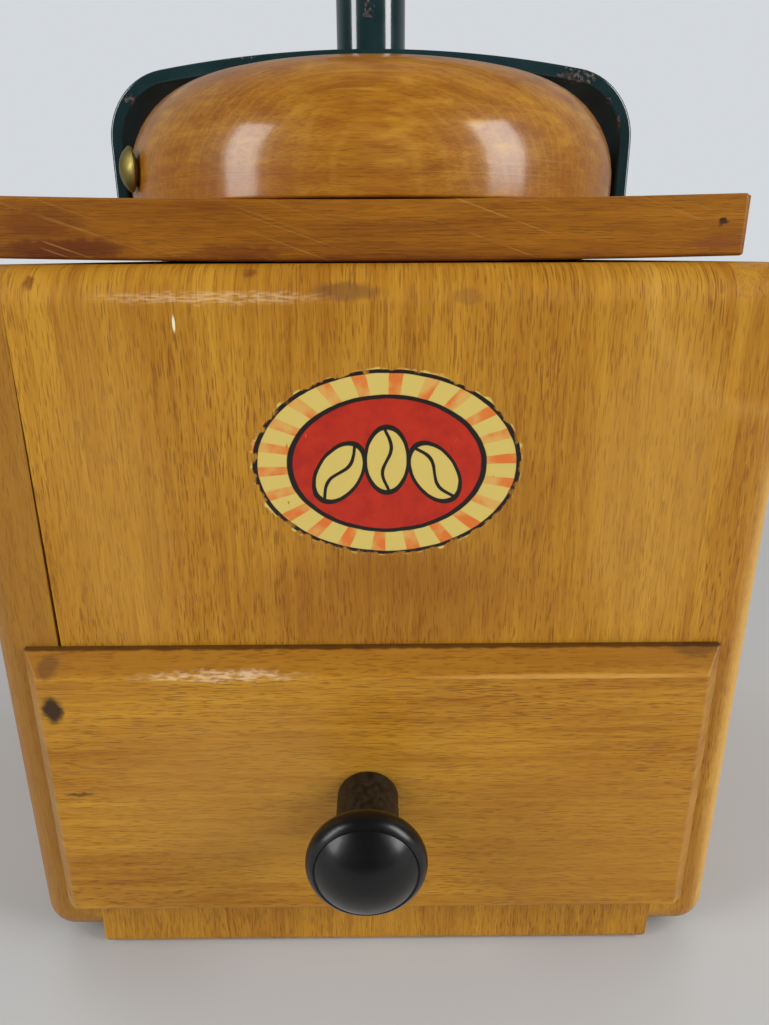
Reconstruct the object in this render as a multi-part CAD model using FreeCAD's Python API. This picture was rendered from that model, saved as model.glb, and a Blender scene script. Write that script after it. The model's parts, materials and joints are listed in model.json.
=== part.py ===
"""Box coffee mill with a hand crank: a beech case with a drawer, and a cone mill under a turning dome.

Millimetres. The origin is the middle of the base's underside, +Z is up, the drawer faces -Y
and the crank at rest points along +X.
"""

import FreeCAD
import Part
import math
import os

V = FreeCAD.Vector
UP = V(0, 0, 1)

# Case
CASE_WIDTH = 130.0  # left to right, and front to back
CASE_TOP = 127.0
WALL = 12.0
EDGE_ROUND = 6.0
SIDE_LIFT = 2.2  # the side boards end this far above the table
BASE_THICKNESS = 13.0
BASE_ROUND = 2.0
OPENING_TOP = 63.0  # lower edge of the front board, over the drawer
DECK_THICKNESS = 12.0

# Top plate, cupped by age so that its left and right ends stand up
PLATE_WIDTH = 114.0
PLATE_THICKNESS = 8.8
PLATE_CUP = 0.7
PLATE_SEAT = 0.2  # thickness of the old glue and paint line under it
PLATE_EASE = 1.0
HOPPER_HOLE_R = 33.0

# Dome lid, and the bow that bridges it
DOME_R = 50.0
DOME_HEIGHT = 26.9
DOME_SHOULDER = 18.0
DOME_CROWN = 160.0
DOME_WALL = 6.5
DOME_GAP = 0.75  # above the middle of the plate, so that the rim clears the plate's cup
DOME_HOLE_R = 6.0
WINDOW_START = 66.0  # degrees from +X, with the lid shut
WINDOW_ANGLE = 90.0
WINDOW_SILL = 5.0
WINDOW_INNER_R = 17.0
LID_KNOB_ANGLE = 208.0
LID_KNOB_RISE = 7.5  # over the plate
LID_KNOB_HEAD_R = 4.0
LID_KNOB_HEAD = 2.3
LID_KNOB_NECK = 0.5

BOW_HALF_SPAN = 53.2
BOW_RISE = 30.8  # top of the strap over the plate
BOW_CORNER = 13.5
BOW_CROWN = 250.0
STRAP = 2.6
STRAP_WIDTH = 16.0
BOW_FOOT_INNER = 40.0
BOW_FOOT_BEND = 3.0
BOW_SCREW_X = 45.5

# Bearing tower and crank shaft
TOWER_R = 7.0
TOWER_HEIGHT = 23.2
SPIGOT_R = 5.9
SPOT_FACE = 0.15  # depth of the flat cut for the tower in the bow's crown
SHAFT_R = 4.0
RUNNING = 0.04  # radial clearance of a turning fit
SLIP = 0.05  # clearance of a piece that is put together by hand
SHAFT_FOOT = 66.0
SHAFT_FLAT = 3.4  # distance of the milled key flat from the axis
TANG_HALF = 2.8  # half width across the two flats that drive the crank
STUD_R = 2.8

# Grind adjustment on top of the tower
WASHER_THICKNESS = 1.2
WASHER_R = 8.0
ADJUSTER_R = 12.5
ADJUSTER_HEIGHT = 7.6
ADJUSTER_NOTCHES = 12
ADJUSTER_NOTCH_R = 1.8
COARSEST = 0.7  # the shaft can sink by less than this when the grind is set coarser
LOCK_GAP = 0.9
LOCK_THICKNESS = 0.7

# Crank
CRANK_RADIUS = 120.0
CRANK_RISE = 26.0
CRANK_THICKNESS = 4.6
CRANK_BEND = 70.0
CRANK_SLOPE = 22.0
CRANK_HUB_R = 10.5
CRANK_HUB_FLAT = 12.0
CRANK_END_R = 8.0
CRANK_HALF_WIDTHS = (6.8, 4.6)
NUT_ACROSS_FLATS = 10.0
NUT_HEIGHT = 5.0
GRIP_HEIGHT = 44.0
GRIP_FOOT_R = 8.0
GRIP_WAIST_R = 7.2
GRIP_HEAD_R = 13.5
GRIP_PIN_R = 2.75
FERRULE_HEIGHT = 6.0

# Grinding gear
HOUSING_R = 28.5
HOUSING_BORE_R = 26.05
HOUSING_TOP_FLANGE_R = 44.0
HOUSING_FOOT_FLANGE_R = 36.5
HOUSING_FLANGE = 4.0
HOUSING_SCREW_R = 39.5
MILL_FLOOR = 78.0  # underside of the burr ring
MILL_TOP = 103.0
RING_MOUTH_R = 22.0
RING_THROAT_R = 19.9
CONE_TOP_R = 11.0
CONE_FOOT_R = 19.0
CONE_FOOT_GAP = 1.0
CONE_HEIGHT = 22.0
CONE_FLUTES = 12
RING_FLUTES = 16
FLUTE_LENGTH = 44.0
FLUTE_SLANT = 24.0
CONE_FLUTE_DEPTH = 2.6
RING_FLUTE_DEPTH = 2.0
FLUTE_FACE = 1.2  # steep side of a tooth gap, seen along the gap
FLUTE_BACK = 3.4  # sloping side
BRIDGE_HUB_R = 9.0
BRIDGE_THICKNESS = 4.0
BRIDGE_ARM = 8.0
BRIDGE_SCREW_R = 32.3
BRIDGE_HUB_DROP = 3.0  # the hub reaches this far below the arms
BRIDGE_BOLT_R = 2.0
CROSS_PIN_R = 1.5
CROSS_PIN_HALF = 10.5
CROSS_PIN_RISE = 8.0
COLLAR_R = 6.5
COLLAR = 2.5

# Hopper under the dome
FUNNEL_WALL = 1.2
FUNNEL_FLANGE_R = 39.5
FUNNEL_MOUTH_R = 31.5
FUNNEL_NECK_R = 22.2
FUNNEL_NECK_BASE = 106.0
FUNNEL_NECK_TOP = 110.0
HOPPER_SCREW_R = 36.0
SHUTTER_WALL = 0.8
SHUTTER_CLEARANCE = 0.8
SHUTTER_SPAN = (4.0, 176.0)  # degrees from +X that the shutter covers

# Drawer
PANEL_HALF_WIDTH = 58.4
PANEL_BASE = 11.5
PANEL_TOP = 66.4
PANEL_THICKNESS = 5.3
PANEL_EDGE = 0.8  # square edge left behind the bevel
PANEL_BEVEL = 3.4
PANEL_GAP = 0.2
DRAWER_SIDE_GAP = 0.4
DRAWER_TOP_GAP = 0.6
DRAWER_FLOAT = 0.2
DRAWER_INNER_FRONT = 9.0
DRAWER_BOARD = 6.0
DRAWER_SIDE_HEIGHT = 45.0
DRAWER_BOTTOM = 3.0
DRAWER_BOTTOM_RISE = 3.0
DRAWER_BACK_GAP = 2.0
GROOVE_DEPTH = 3.0
KNOB_AXIS = 40.0  # height of the drawer knob over the table
KNOB_OFFSET = -1.1  # the knob sits a little left of the middle
KNOB_STEM_R = 5.2
KNOB_STEM = 11.6
KNOB_R = 9.4
KNOB_LENGTH = 21.4
KNOB_SCREW_R = 2.0

# Levels worked out from the sizes above
HALF = CASE_WIDTH / 2
INNER = HALF - WALL
DECK_BASE = CASE_TOP - DECK_THICKNESS
PLATE_BASE = CASE_TOP + PLATE_SEAT
PLATE_TOP = PLATE_BASE + PLATE_THICKNESS
DOME_BASE = PLATE_TOP + DOME_GAP
FOOT_BASE = PLATE_TOP - STRAP
TOWER_BASE = PLATE_TOP + BOW_RISE - SPOT_FACE
TOWER_TOP = TOWER_BASE + TOWER_HEIGHT
ADJUSTER_BASE = TOWER_TOP + WASHER_THICKNESS
ADJUSTER_TOP = ADJUSTER_BASE + ADJUSTER_HEIGHT
LOCK_BASE = ADJUSTER_TOP + LOCK_GAP
CRANK_BASE = LOCK_BASE + LOCK_THICKNESS
CRANK_TOP = CRANK_BASE + CRANK_THICKNESS
GRIP_ARM_TOP = CRANK_TOP + CRANK_RISE
CONE_BASE = MILL_FLOOR + CONE_FOOT_GAP
CONE_TOP = CONE_BASE + CONE_HEIGHT
FLANGE_BASE = PLATE_TOP + 0.5 * PLATE_CUP
FLANGE_TOP = FLANGE_BASE + FUNNEL_WALL
PANEL_BACK = -HALF - PANEL_GAP
PANEL_FACE = PANEL_BACK - PANEL_THICKNESS
DRAWER_OUTER = INNER - DRAWER_SIDE_GAP
DRAWER_BOX_FRONT = PANEL_BACK + DRAWER_INNER_FRONT
DRAWER_BOX_BACK = INNER - DRAWER_BACK_GAP
DRAWER_FLOOR = BASE_THICKNESS + DRAWER_FLOAT
DRAWER_BOTTOM_BASE = DRAWER_FLOOR + DRAWER_BOTTOM_RISE
DRAWER_BOTTOM_LEVELS = (DRAWER_BOTTOM_BASE, DRAWER_BOTTOM_BASE + DRAWER_BOTTOM)


# Shape helpers

def block(x, y, z):
    """A box given by its low and high limits along each axis."""
    return Part.makeBox(x[1] - x[0], y[1] - y[0], z[1] - z[0], V(x[0], y[0], z[0]))


def rod(radius, z, at=(0.0, 0.0)):
    return Part.makeCylinder(radius, z[1] - z[0], V(at[0], at[1], z[0]), UP)


def prism(corners, rise):
    """An upright prism on a flat polygon."""
    return Part.Face(Part.makePolygon([*corners, corners[0]])).extrude(V(0, 0, rise))


def hex_bar(across_flats, z):
    corner = across_flats / math.sqrt(3)
    return prism([V(*polar(corner, 60 * i), z[0]) for i in range(6)], z[1] - z[0])


def polar(radius, degrees):
    angle = math.radians(degrees)
    return radius * math.cos(angle), radius * math.sin(angle)


def outline(start, *steps):
    """A closed face in the XZ plane. A step is the end of a line, or the (through, end) of an arc."""

    def at(point):
        return V(point[0], 0, point[1])

    edges = []
    here = start
    for step in steps:
        if isinstance(step[0], tuple):
            through, end = step
            edges.append(Part.Arc(at(here), at(through), at(end)).toShape())
        else:
            end = step
            edges.append(Part.LineSegment(at(here), at(end)).toShape())
        here = end
    if at(here).distanceToPoint(at(start)) > 1e-6:
        edges.append(Part.LineSegment(at(here), at(start)).toShape())
    return Part.Face(Part.Wire(edges))


def turned(face, degrees=360.0, first=0.0):
    """A face of the XZ plane turned about the vertical axis."""
    solid = face.revolve(V(0, 0, 0), UP, degrees)
    if solid.Volume < 0:
        solid.reverse()
    solid.rotate(V(0, 0, 0), UP, first)
    return solid


def slab(face, half_width):
    """A face of the XZ plane as a plate that reaches half_width to the front and to the back."""
    face = face.copy()
    face.translate(V(0, -half_width, 0))
    return face.extrude(V(0, 2 * half_width, 0))


def cap(radius, base, rise):
    """Outline step for a spherical cap: from the point (radius, base) to the axis."""
    sphere = (radius**2 + rise**2) / (2 * rise)
    middle = base + rise - sphere
    half_angle = math.asin(radius / sphere) / 2
    through = (sphere * math.sin(half_angle), middle + sphere * math.cos(half_angle))
    return through, (0.0, base + rise)


def rounded(shape, radius, chosen):
    """The shape with the edges whose midpoint passes the test rounded over."""
    edges = [edge for edge in shape.Edges if chosen(edge.CenterOfMass)]
    return shape.makeFillet(radius, edges)


def mirrored(shape):
    return shape.mirror(V(0, 0, 0), V(1, 0, 0))


def near(a, b):
    return abs(a - b) < 1e-4


def around(shape, angles):
    """Copies of a shape, turned about the vertical axis."""
    copies = []
    for angle in angles:
        copy = shape.copy()
        copy.rotate(V(0, 0, 0), UP, angle)
        copies.append(copy)
    return copies


class Bun:
    """Section of a low bun: an upright side, a round shoulder and a shallow crown, all tangent."""

    def __init__(self, radius, height, shoulder, crown, base):
        self.sizes = (radius, height, shoulder, crown)
        self.base = base
        middle = base + height - crown
        reach = radius - shoulder
        side_top = middle + math.sqrt((crown - shoulder) ** 2 - reach**2)
        join = math.atan2(side_top - middle, reach)
        half_shoulder = join / 2
        half_crown = (join + math.pi / 2) / 2
        self.foot = (radius, base)
        self.side_top = (radius, side_top)
        self.shoulder = (
            reach + shoulder * math.cos(half_shoulder),
            side_top + shoulder * math.sin(half_shoulder),
        )
        self.join = (crown * math.cos(join), middle + crown * math.sin(join))
        self.crown = (crown * math.cos(half_crown), middle + crown * math.sin(half_crown))
        self.top = (0.0, base + height)

    def inside(self, wall):
        return Bun(*(size - wall for size in self.sizes), self.base)

    def half(self):
        """The half section, from the axis to the side."""
        return outline(
            (0.0, self.base), self.foot, self.side_top, (self.shoulder, self.join), (self.crown, self.top)
        )

    def hollow(self):
        """The half section with its curves cut straight, as a rough turned hollow has them."""
        return outline((0.0, self.base), self.foot, self.side_top, self.join, self.top)

    def arch(self):
        """The whole section, left and right of the axis."""
        left = [(-x, z) for x, z in (self.foot, self.side_top, self.shoulder, self.join)]
        return outline(
            left[0],
            left[1],
            (left[2], left[3]),
            (self.top, self.join),
            (self.shoulder, self.side_top),
            self.foot,
        )


DOME = Bun(DOME_R, DOME_HEIGHT, DOME_SHOULDER, DOME_CROWN, DOME_BASE)
BOW = Bun(BOW_HALF_SPAN, BOW_RISE + STRAP, BOW_CORNER, BOW_CROWN, FOOT_BASE)


# Screws

def countersunk(head_r, shank_r, length, extra=0.0):
    """A countersunk screw that points down from its face at the origin, or with extra, the hole for it."""
    head_r += extra
    shank_r += extra
    rim = -0.2
    neck = rim + shank_r - head_r
    end = -length - extra
    return turned(
        outline(
            (0.0, extra), (head_r, extra), (head_r, rim), (shank_r, neck), (shank_r, end), (0.0, end)
        )
    )


def cheese_head(head_r, head, shank_r, length):
    """A screw with a flat round head: the head's seat is at the origin and the shank points up."""
    return turned(
        outline(
            (0.0, -head), (head_r, -head), (head_r, 0.0), (shank_r, 0.0), (shank_r, length), (0.0, length)
        )
    )


BOW_SCREW = (3.4, 1.6, 14.0)
HOPPER_SCREW = (2.9, 1.5, 18.0)
HOUSING_SCREW = (3.0, 1.5, 13.0)
BOW_SCREW_PLACES = [(BOW_SCREW_X, 0.0), (-BOW_SCREW_X, 0.0)]
HOPPER_SCREW_PLACES = [polar(HOPPER_SCREW_R, angle) for angle in (50, 130, 230, 310)]
HOUSING_SCREW_PLACES = [polar(HOUSING_SCREW_R, angle) for angle in (0, 90, 180, 270)]
BRIDGE_ANGLES = (30.0, 150.0, 270.0)


def placed(shape, places, level, upside_down=False):
    copies = []
    for x, y in places:
        copy = shape.copy()
        if upside_down:
            copy.rotate(V(0, 0, 0), V(1, 0, 0), 180)
        copy.translate(V(x, y, level))
        copies.append(copy)
    return copies


# Case

def side_board():
    board = block((INNER, HALF), (-HALF, HALF), (SIDE_LIFT, CASE_TOP))

    def outer_edge(middle):
        if near(middle.x, INNER):
            return False
        along_length = near(middle.y, 0.0) and near(middle.x, HALF)
        upright = near(abs(middle.y), HALF) and near(middle.x, HALF)
        end = near(abs(middle.y), HALF) and not near(middle.z, (SIDE_LIFT + CASE_TOP) / 2)
        return along_length or upright or end

    return rounded(board, EDGE_ROUND, outer_edge)


def front_board():
    board = block((-INNER, INNER), (-HALF, -INNER), (OPENING_TOP, CASE_TOP))
    return rounded(board, EDGE_ROUND, lambda m: near(m.y, -HALF) and near(m.z, CASE_TOP))


def back_board():
    board = block((-INNER, INNER), (INNER, HALF), (BASE_THICKNESS, CASE_TOP))
    return rounded(board, EDGE_ROUND, lambda m: near(m.y, HALF) and near(m.z, CASE_TOP))


def base_board():
    board = block((-INNER, INNER), (-HALF, HALF), (0.0, BASE_THICKNESS))
    return rounded(board, BASE_ROUND, lambda m: near(m.z, 0.0))


def deck_board():
    """The board between the walls that carries the grinding gear."""
    board = block((-INNER, INNER), (-INNER, INNER), (DECK_BASE, CASE_TOP))
    board = board.cut(rod(HOPPER_HOLE_R, (DECK_BASE, CASE_TOP)))
    holes = placed(countersunk(*BOW_SCREW, SLIP), BOW_SCREW_PLACES, PLATE_TOP)
    holes += placed(countersunk(*HOPPER_SCREW, SLIP), HOPPER_SCREW_PLACES, FLANGE_TOP)
    flange_base = DECK_BASE - HOUSING_FLANGE
    holes += placed(countersunk(*HOUSING_SCREW, SLIP), HOUSING_SCREW_PLACES, flange_base, True)
    return board.cut(holes)


def top_plate():
    half = PLATE_WIDTH / 2
    ends_base = PLATE_BASE + PLATE_CUP
    ends_top = PLATE_TOP + PLATE_CUP
    section = outline(
        (-half, ends_base),
        ((0.0, PLATE_BASE), (half, ends_base)),
        (half, ends_top),
        ((0.0, PLATE_TOP), (-half, ends_top)),
    )
    plate = slab(section, half)
    middle = (ends_base + ends_top) / 2
    plate = rounded(
        plate, PLATE_EASE, lambda m: near(m.z, middle) or (near(abs(m.x), half) and m.z > middle)
    )
    plate = plate.cut(rod(HOPPER_HOLE_R, (PLATE_BASE, PLATE_TOP + PLATE_CUP)))
    pocket = block(
        (BOW_FOOT_INNER - SLIP, BOW_HALF_SPAN + SLIP),
        (-STRAP_WIDTH / 2 - SLIP, STRAP_WIDTH / 2 + SLIP),
        (FOOT_BASE, PLATE_TOP + 2 * PLATE_CUP),
    )
    holes = [pocket, mirrored(pocket)]
    holes += placed(countersunk(*BOW_SCREW, SLIP), BOW_SCREW_PLACES, PLATE_TOP)
    clearance_r = HOPPER_SCREW[1] + 0.5
    holes += placed(rod(clearance_r, (PLATE_BASE, FLANGE_BASE)), HOPPER_SCREW_PLACES, 0.0)
    return plate.cut(holes)


# Bow, tower and bearings

def bearing_bow():
    """The steel strap over the dome, with feet let into the plate and a spot face for the tower."""
    strap = slab(BOW.arch().cut(BOW.inside(STRAP).arch()), STRAP_WIDTH / 2)
    leg_inner = BOW_HALF_SPAN - STRAP
    foot = block(
        (BOW_FOOT_INNER, leg_inner + STRAP / 2), (-STRAP_WIDTH / 2, STRAP_WIDTH / 2), (FOOT_BASE, PLATE_TOP)
    )
    bow = strap.fuse([foot, mirrored(foot)]).removeSplitter()
    bow = rounded(bow, BOW_FOOT_BEND, lambda m: near(abs(m.x), BOW_HALF_SPAN) and near(m.z, FOOT_BASE))
    crown = PLATE_TOP + BOW_RISE
    cuts = [
        rod(TOWER_R + SLIP, (TOWER_BASE, crown + 1.0)),
        rod(SPIGOT_R + SLIP, (crown - 2 * STRAP, crown + 1.0)),
    ]
    cuts += placed(countersunk(*BOW_SCREW, SLIP), BOW_SCREW_PLACES, PLATE_TOP)
    return bow.cut(cuts)


def bearing_tower():
    """Tube on the bow that the shaft runs in, riveted through the bow's crown by its spigot."""
    spigot_base = PLATE_TOP + BOW_RISE - STRAP
    bore_r = SHAFT_R + RUNNING
    ease = 0.8
    return turned(
        outline(
            (bore_r, spigot_base),
            (SPIGOT_R, spigot_base),
            (SPIGOT_R, TOWER_BASE),
            (TOWER_R, TOWER_BASE),
            (TOWER_R, TOWER_TOP - ease),
            (TOWER_R - ease, TOWER_TOP),
            (bore_r, TOWER_TOP),
        )
    )


# Hopper

def hopper_funnel():
    """Pressed funnel: a flange on the plate, a cone, and a neck that hangs in the housing."""
    slant = FUNNEL_WALL * 1.05
    funnel = turned(
        outline(
            (FUNNEL_MOUTH_R, FLANGE_BASE),
            (FUNNEL_FLANGE_R, FLANGE_BASE),
            (FUNNEL_FLANGE_R, FLANGE_TOP),
            (FUNNEL_MOUTH_R - slant, FLANGE_TOP),
            (FUNNEL_NECK_R - FUNNEL_WALL, FUNNEL_NECK_TOP),
            (FUNNEL_NECK_R - FUNNEL_WALL, FUNNEL_NECK_BASE),
            (FUNNEL_NECK_R, FUNNEL_NECK_BASE),
            (FUNNEL_NECK_R, FUNNEL_NECK_TOP),
        )
    )
    return funnel.cut(placed(countersunk(*HOPPER_SCREW, SLIP), HOPPER_SCREW_PLACES, FLANGE_TOP))


def fill_shutter():
    """The fixed half cover inside the dome: it closes the dome's window until the dome is turned."""
    inner = DOME.inside(DOME_WALL + SHUTTER_CLEARANCE)
    base = FLANGE_TOP
    wall_top = inner.side_top[1]
    roof_edge = inner.join
    eye_r = DOME_HOLE_R + 1.0
    roof_top = inner.top[1] - 1.5
    sheet = SHUTTER_WALL
    side_r = inner.foot[0]
    section = outline(
        (HOPPER_SCREW_R - 3.5, base),
        (side_r, base),
        (side_r, wall_top),
        roof_edge,
        (eye_r, roof_top),
        (eye_r, roof_top - sheet),
        (roof_edge[0] - 0.5 * sheet, roof_edge[1] - sheet),
        (side_r - sheet, wall_top - 0.5 * sheet),
        (side_r - sheet, base + sheet),
        (HOPPER_SCREW_R - 3.5, base + sheet),
    )
    first, last = SHUTTER_SPAN
    shutter = turned(section, last - first, first)
    clear = rod(HOPPER_SCREW[0] + 0.3, (base - 1.0, base + sheet + 1.0))
    return shutter.cut(placed(clear, HOPPER_SCREW_PLACES, 0.0))


# Dome lid

def toward_knob(shape):
    """A shape made along +Z from the mill's axis, laid out along the lid knob's direction."""
    shape = shape.copy()
    shape.rotate(V(0, 0, 0), V(0, 1, 0), 90)
    shape.rotate(V(0, 0, 0), UP, LID_KNOB_ANGLE)
    shape.translate(V(0, 0, PLATE_TOP + LID_KNOB_RISE))
    return shape


LID_KNOB_SHANK_R = 2.0
LID_NUT_SEAT = math.sqrt((DOME_R - DOME_WALL) ** 2 - LID_KNOB_HEAD_R**2)


def dome_lid():
    shell = turned(DOME.half()).cut(turned(DOME.inside(DOME_WALL).hollow()))
    window = turned(
        outline(
            (WINDOW_INNER_R, DOME_BASE + WINDOW_SILL),
            (DOME_R + 5.0, DOME_BASE + WINDOW_SILL),
            (DOME_R + 5.0, DOME_BASE + DOME_HEIGHT + 5.0),
            (WINDOW_INNER_R, DOME_BASE + DOME_HEIGHT + 5.0),
        ),
        WINDOW_ANGLE,
        WINDOW_START,
    )
    shank = toward_knob(rod(LID_KNOB_SHANK_R + SLIP, (DOME_R - 3 * DOME_WALL, DOME_R + 5.0)))
    nut_seat = toward_knob(rod(LID_KNOB_HEAD_R + 0.3, (DOME_R - 3 * DOME_WALL, LID_NUT_SEAT)))
    eye = rod(DOME_HOLE_R, (DOME_BASE, DOME_BASE + 2 * DOME_HEIGHT))
    return shell.cut([eye, window, shank, nut_seat])


def lid_knob():
    """Round-headed brass knob on a neck, with a shank through the dome's wall."""
    seat = DOME_R
    rim = seat + LID_KNOB_NECK
    inner_end = DOME_R - DOME_WALL - 3.0
    neck_r = LID_KNOB_SHANK_R + 0.9
    knob = turned(
        outline(
            (0.0, inner_end),
            (LID_KNOB_SHANK_R, inner_end),
            (LID_KNOB_SHANK_R, seat + 0.1),
            (neck_r, seat + 0.1),
            (neck_r, rim),
            (LID_KNOB_HEAD_R, rim),
            cap(LID_KNOB_HEAD_R, rim, LID_KNOB_HEAD),
        )
    )
    return toward_knob(knob)


def lid_knob_nut():
    z = (LID_NUT_SEAT - 2.0, LID_NUT_SEAT)
    return toward_knob(hex_bar(1.7 * LID_KNOB_HEAD_R, z).cut(rod(LID_KNOB_SHANK_R + SLIP, z)))


# Grinding gear

def burr_housing():
    """Cast body that hangs under the deck and holds the burr ring against a lip."""
    flange_base = DECK_BASE - HOUSING_FLANGE
    lip_r = FUNNEL_NECK_R + 0.3
    body = turned(
        outline(
            (HOUSING_BORE_R, MILL_FLOOR),
            (HOUSING_FOOT_FLANGE_R, MILL_FLOOR),
            (HOUSING_FOOT_FLANGE_R, MILL_FLOOR + HOUSING_FLANGE),
            (HOUSING_R, MILL_FLOOR + HOUSING_FLANGE),
            (HOUSING_R, flange_base),
            (HOUSING_TOP_FLANGE_R, flange_base),
            (HOUSING_TOP_FLANGE_R, DECK_BASE),
            (HOUSING_BORE_R + 1.0, DECK_BASE),
            (lip_r, MILL_TOP + 3.0),
            (lip_r, MILL_TOP),
            (HOUSING_BORE_R, MILL_TOP),
        )
    )
    tapped = rod(BRIDGE_BOLT_R + SLIP, (MILL_FLOOR - 1.0, MILL_FLOOR + HOUSING_FLANGE + 1.0))
    holes = placed(tapped, [polar(BRIDGE_SCREW_R, angle) for angle in BRIDGE_ANGLES], 0.0)
    holes += placed(countersunk(*HOUSING_SCREW, SLIP), HOUSING_SCREW_PLACES, flange_base, True)
    return body.cut(holes)


def flute(radius, slope, depth, slant, level):
    """A tooth gap: a long three-cornered wedge laid on a conical face at +X, with its ridge depth deep.

    A negative depth cuts outward, into the inside of a ring.
    """
    side = math.copysign(1.0, depth)
    over = 2.0
    spread = 1 + over / abs(depth)
    start = -FLUTE_LENGTH / 2
    corners = [
        V(-depth, 0, start),
        V(side * over, -side * FLUTE_FACE * spread, start),
        V(side * over, side * FLUTE_BACK * spread, start),
    ]
    wedge = prism(corners, FLUTE_LENGTH)
    wedge.rotate(V(0, 0, 0), V(1, 0, 0), slant)
    wedge.rotate(V(0, 0, 0), V(0, 1, 0), slope)
    wedge.translate(V(radius, 0, level))
    return wedge


def burr_ring():
    ring = turned(
        outline(
            (RING_THROAT_R, MILL_FLOOR),
            (HOUSING_BORE_R - SLIP, MILL_FLOOR),
            (HOUSING_BORE_R - SLIP, MILL_TOP),
            (RING_MOUTH_R, MILL_TOP),
        )
    )
    slope = math.degrees(math.atan2(RING_MOUTH_R - RING_THROAT_R, MILL_TOP - MILL_FLOOR))
    middle_r = (RING_MOUTH_R + RING_THROAT_R) / 2
    gap = flute(middle_r, slope, -RING_FLUTE_DEPTH, FLUTE_SLANT, (MILL_FLOOR + MILL_TOP) / 2)
    return ring.cut(around(gap, [360.0 * i / RING_FLUTES for i in range(RING_FLUTES)]))


def burr_cone():
    cone = turned(
        outline(
            (SHAFT_R + SLIP, CONE_BASE),
            (CONE_FOOT_R, CONE_BASE),
            (CONE_TOP_R, CONE_TOP),
            (SHAFT_R + SLIP, CONE_TOP),
        )
    )
    slope = math.degrees(math.atan2(CONE_TOP_R - CONE_FOOT_R, CONE_HEIGHT))
    middle_r = (CONE_TOP_R + CONE_FOOT_R) / 2
    gap = flute(middle_r, slope, CONE_FLUTE_DEPTH, -FLUTE_SLANT, CONE_BASE + CONE_HEIGHT / 2)
    cone = cone.cut(around(gap, [360.0 * i / CONE_FLUTES for i in range(CONE_FLUTES)]))
    return cone.cut(cross_pin(SLIP))


def cross_pin(extra=0.0):
    """The pin that fixes the cone on the shaft."""
    start = V(-CROSS_PIN_HALF, 0, CONE_BASE + CROSS_PIN_RISE)
    return Part.makeCylinder(CROSS_PIN_R + extra, 2 * CROSS_PIN_HALF, start, V(1, 0, 0))


def bearing_bridge():
    """Three-armed bridge under the burrs, with a hub that the shaft's foot runs in."""
    base = MILL_FLOOR - BRIDGE_THICKNESS
    hub_base = base - BRIDGE_HUB_DROP
    pad = rod(BRIDGE_ARM / 2, (base, MILL_FLOOR), (BRIDGE_SCREW_R, 0.0))
    arm = block((0.0, BRIDGE_SCREW_R), (-BRIDGE_ARM / 2, BRIDGE_ARM / 2), (base, MILL_FLOOR))
    spider = rod(BRIDGE_HUB_R, (hub_base, MILL_FLOOR)).fuse(around(arm.fuse(pad), BRIDGE_ANGLES))
    hole = rod(BRIDGE_BOLT_R + SLIP, (base, MILL_FLOOR), (BRIDGE_SCREW_R, 0.0))
    bore = rod(SHAFT_R + RUNNING, (hub_base, MILL_FLOOR))
    return spider.removeSplitter().cut([bore, *around(hole, BRIDGE_ANGLES)])


# Crank and shaft

def shaft():
    flat_base = TOWER_TOP - COARSEST
    body = rod(SHAFT_R, (SHAFT_FOOT, LOCK_BASE))
    body = body.fuse(rod(COLLAR_R, (CONE_TOP, CONE_TOP + COLLAR)))
    tang = rod(SHAFT_R, (LOCK_BASE, CRANK_TOP)).common(
        block((-SHAFT_R, SHAFT_R), (-TANG_HALF, TANG_HALF), (LOCK_BASE, CRANK_TOP))
    )
    stud = rod(STUD_R, (CRANK_TOP, CRANK_TOP + NUT_HEIGHT + 2.5))
    body = body.fuse([tang, stud]).removeSplitter()
    flat = block((SHAFT_FLAT, SHAFT_R + 1.0), (-SHAFT_R, SHAFT_R), (flat_base, LOCK_BASE))
    return body.cut([flat, cross_pin(SLIP)])


def tang_hole(z):
    """The hole with two flats that the crank and the lock spring have."""
    wide = SHAFT_R + SLIP
    flats = TANG_HALF + SLIP
    return rod(wide, z).common(block((-wide, wide), (-flats, flats), z))


def thrust_washer():
    """Washer keyed to the shaft's flat: it turns with the shaft and stays on the tower."""
    z = (TOWER_TOP, ADJUSTER_BASE)
    keyed = rod(SHAFT_R + SLIP, z).cut(
        block((SHAFT_FLAT + SLIP, SHAFT_R + 1.0), (-SHAFT_R - 1.0, SHAFT_R + 1.0), z)
    )
    return rod(WASHER_R, z).cut(keyed)


def adjusting_nut():
    ease = 0.8
    nut = turned(
        outline(
            (SHAFT_R + RUNNING, ADJUSTER_BASE),
            (ADJUSTER_R - ease, ADJUSTER_BASE),
            (ADJUSTER_R, ADJUSTER_BASE + ease),
            (ADJUSTER_R, ADJUSTER_TOP - ease),
            (ADJUSTER_R - ease, ADJUSTER_TOP),
            (SHAFT_R + RUNNING, ADJUSTER_TOP),
        )
    )
    notch = rod(ADJUSTER_NOTCH_R, (ADJUSTER_BASE, ADJUSTER_TOP), (ADJUSTER_R + 0.3, 0.0))
    return nut.cut(around(notch, [360.0 * i / ADJUSTER_NOTCHES for i in range(ADJUSTER_NOTCHES)]))


def lock_spring():
    """Leaf under the crank whose tip lies over the adjusting nut's rim."""
    z = (LOCK_BASE, CRANK_BASE)
    reach = ADJUSTER_R + 3.0
    leaf = block((0.0, reach), (-3.0, 3.0), z)
    return rod(SHAFT_R + 3.5, z).fuse([leaf, rod(3.0, z, (reach, 0.0))]).removeSplitter().cut(tang_hole(z))


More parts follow.
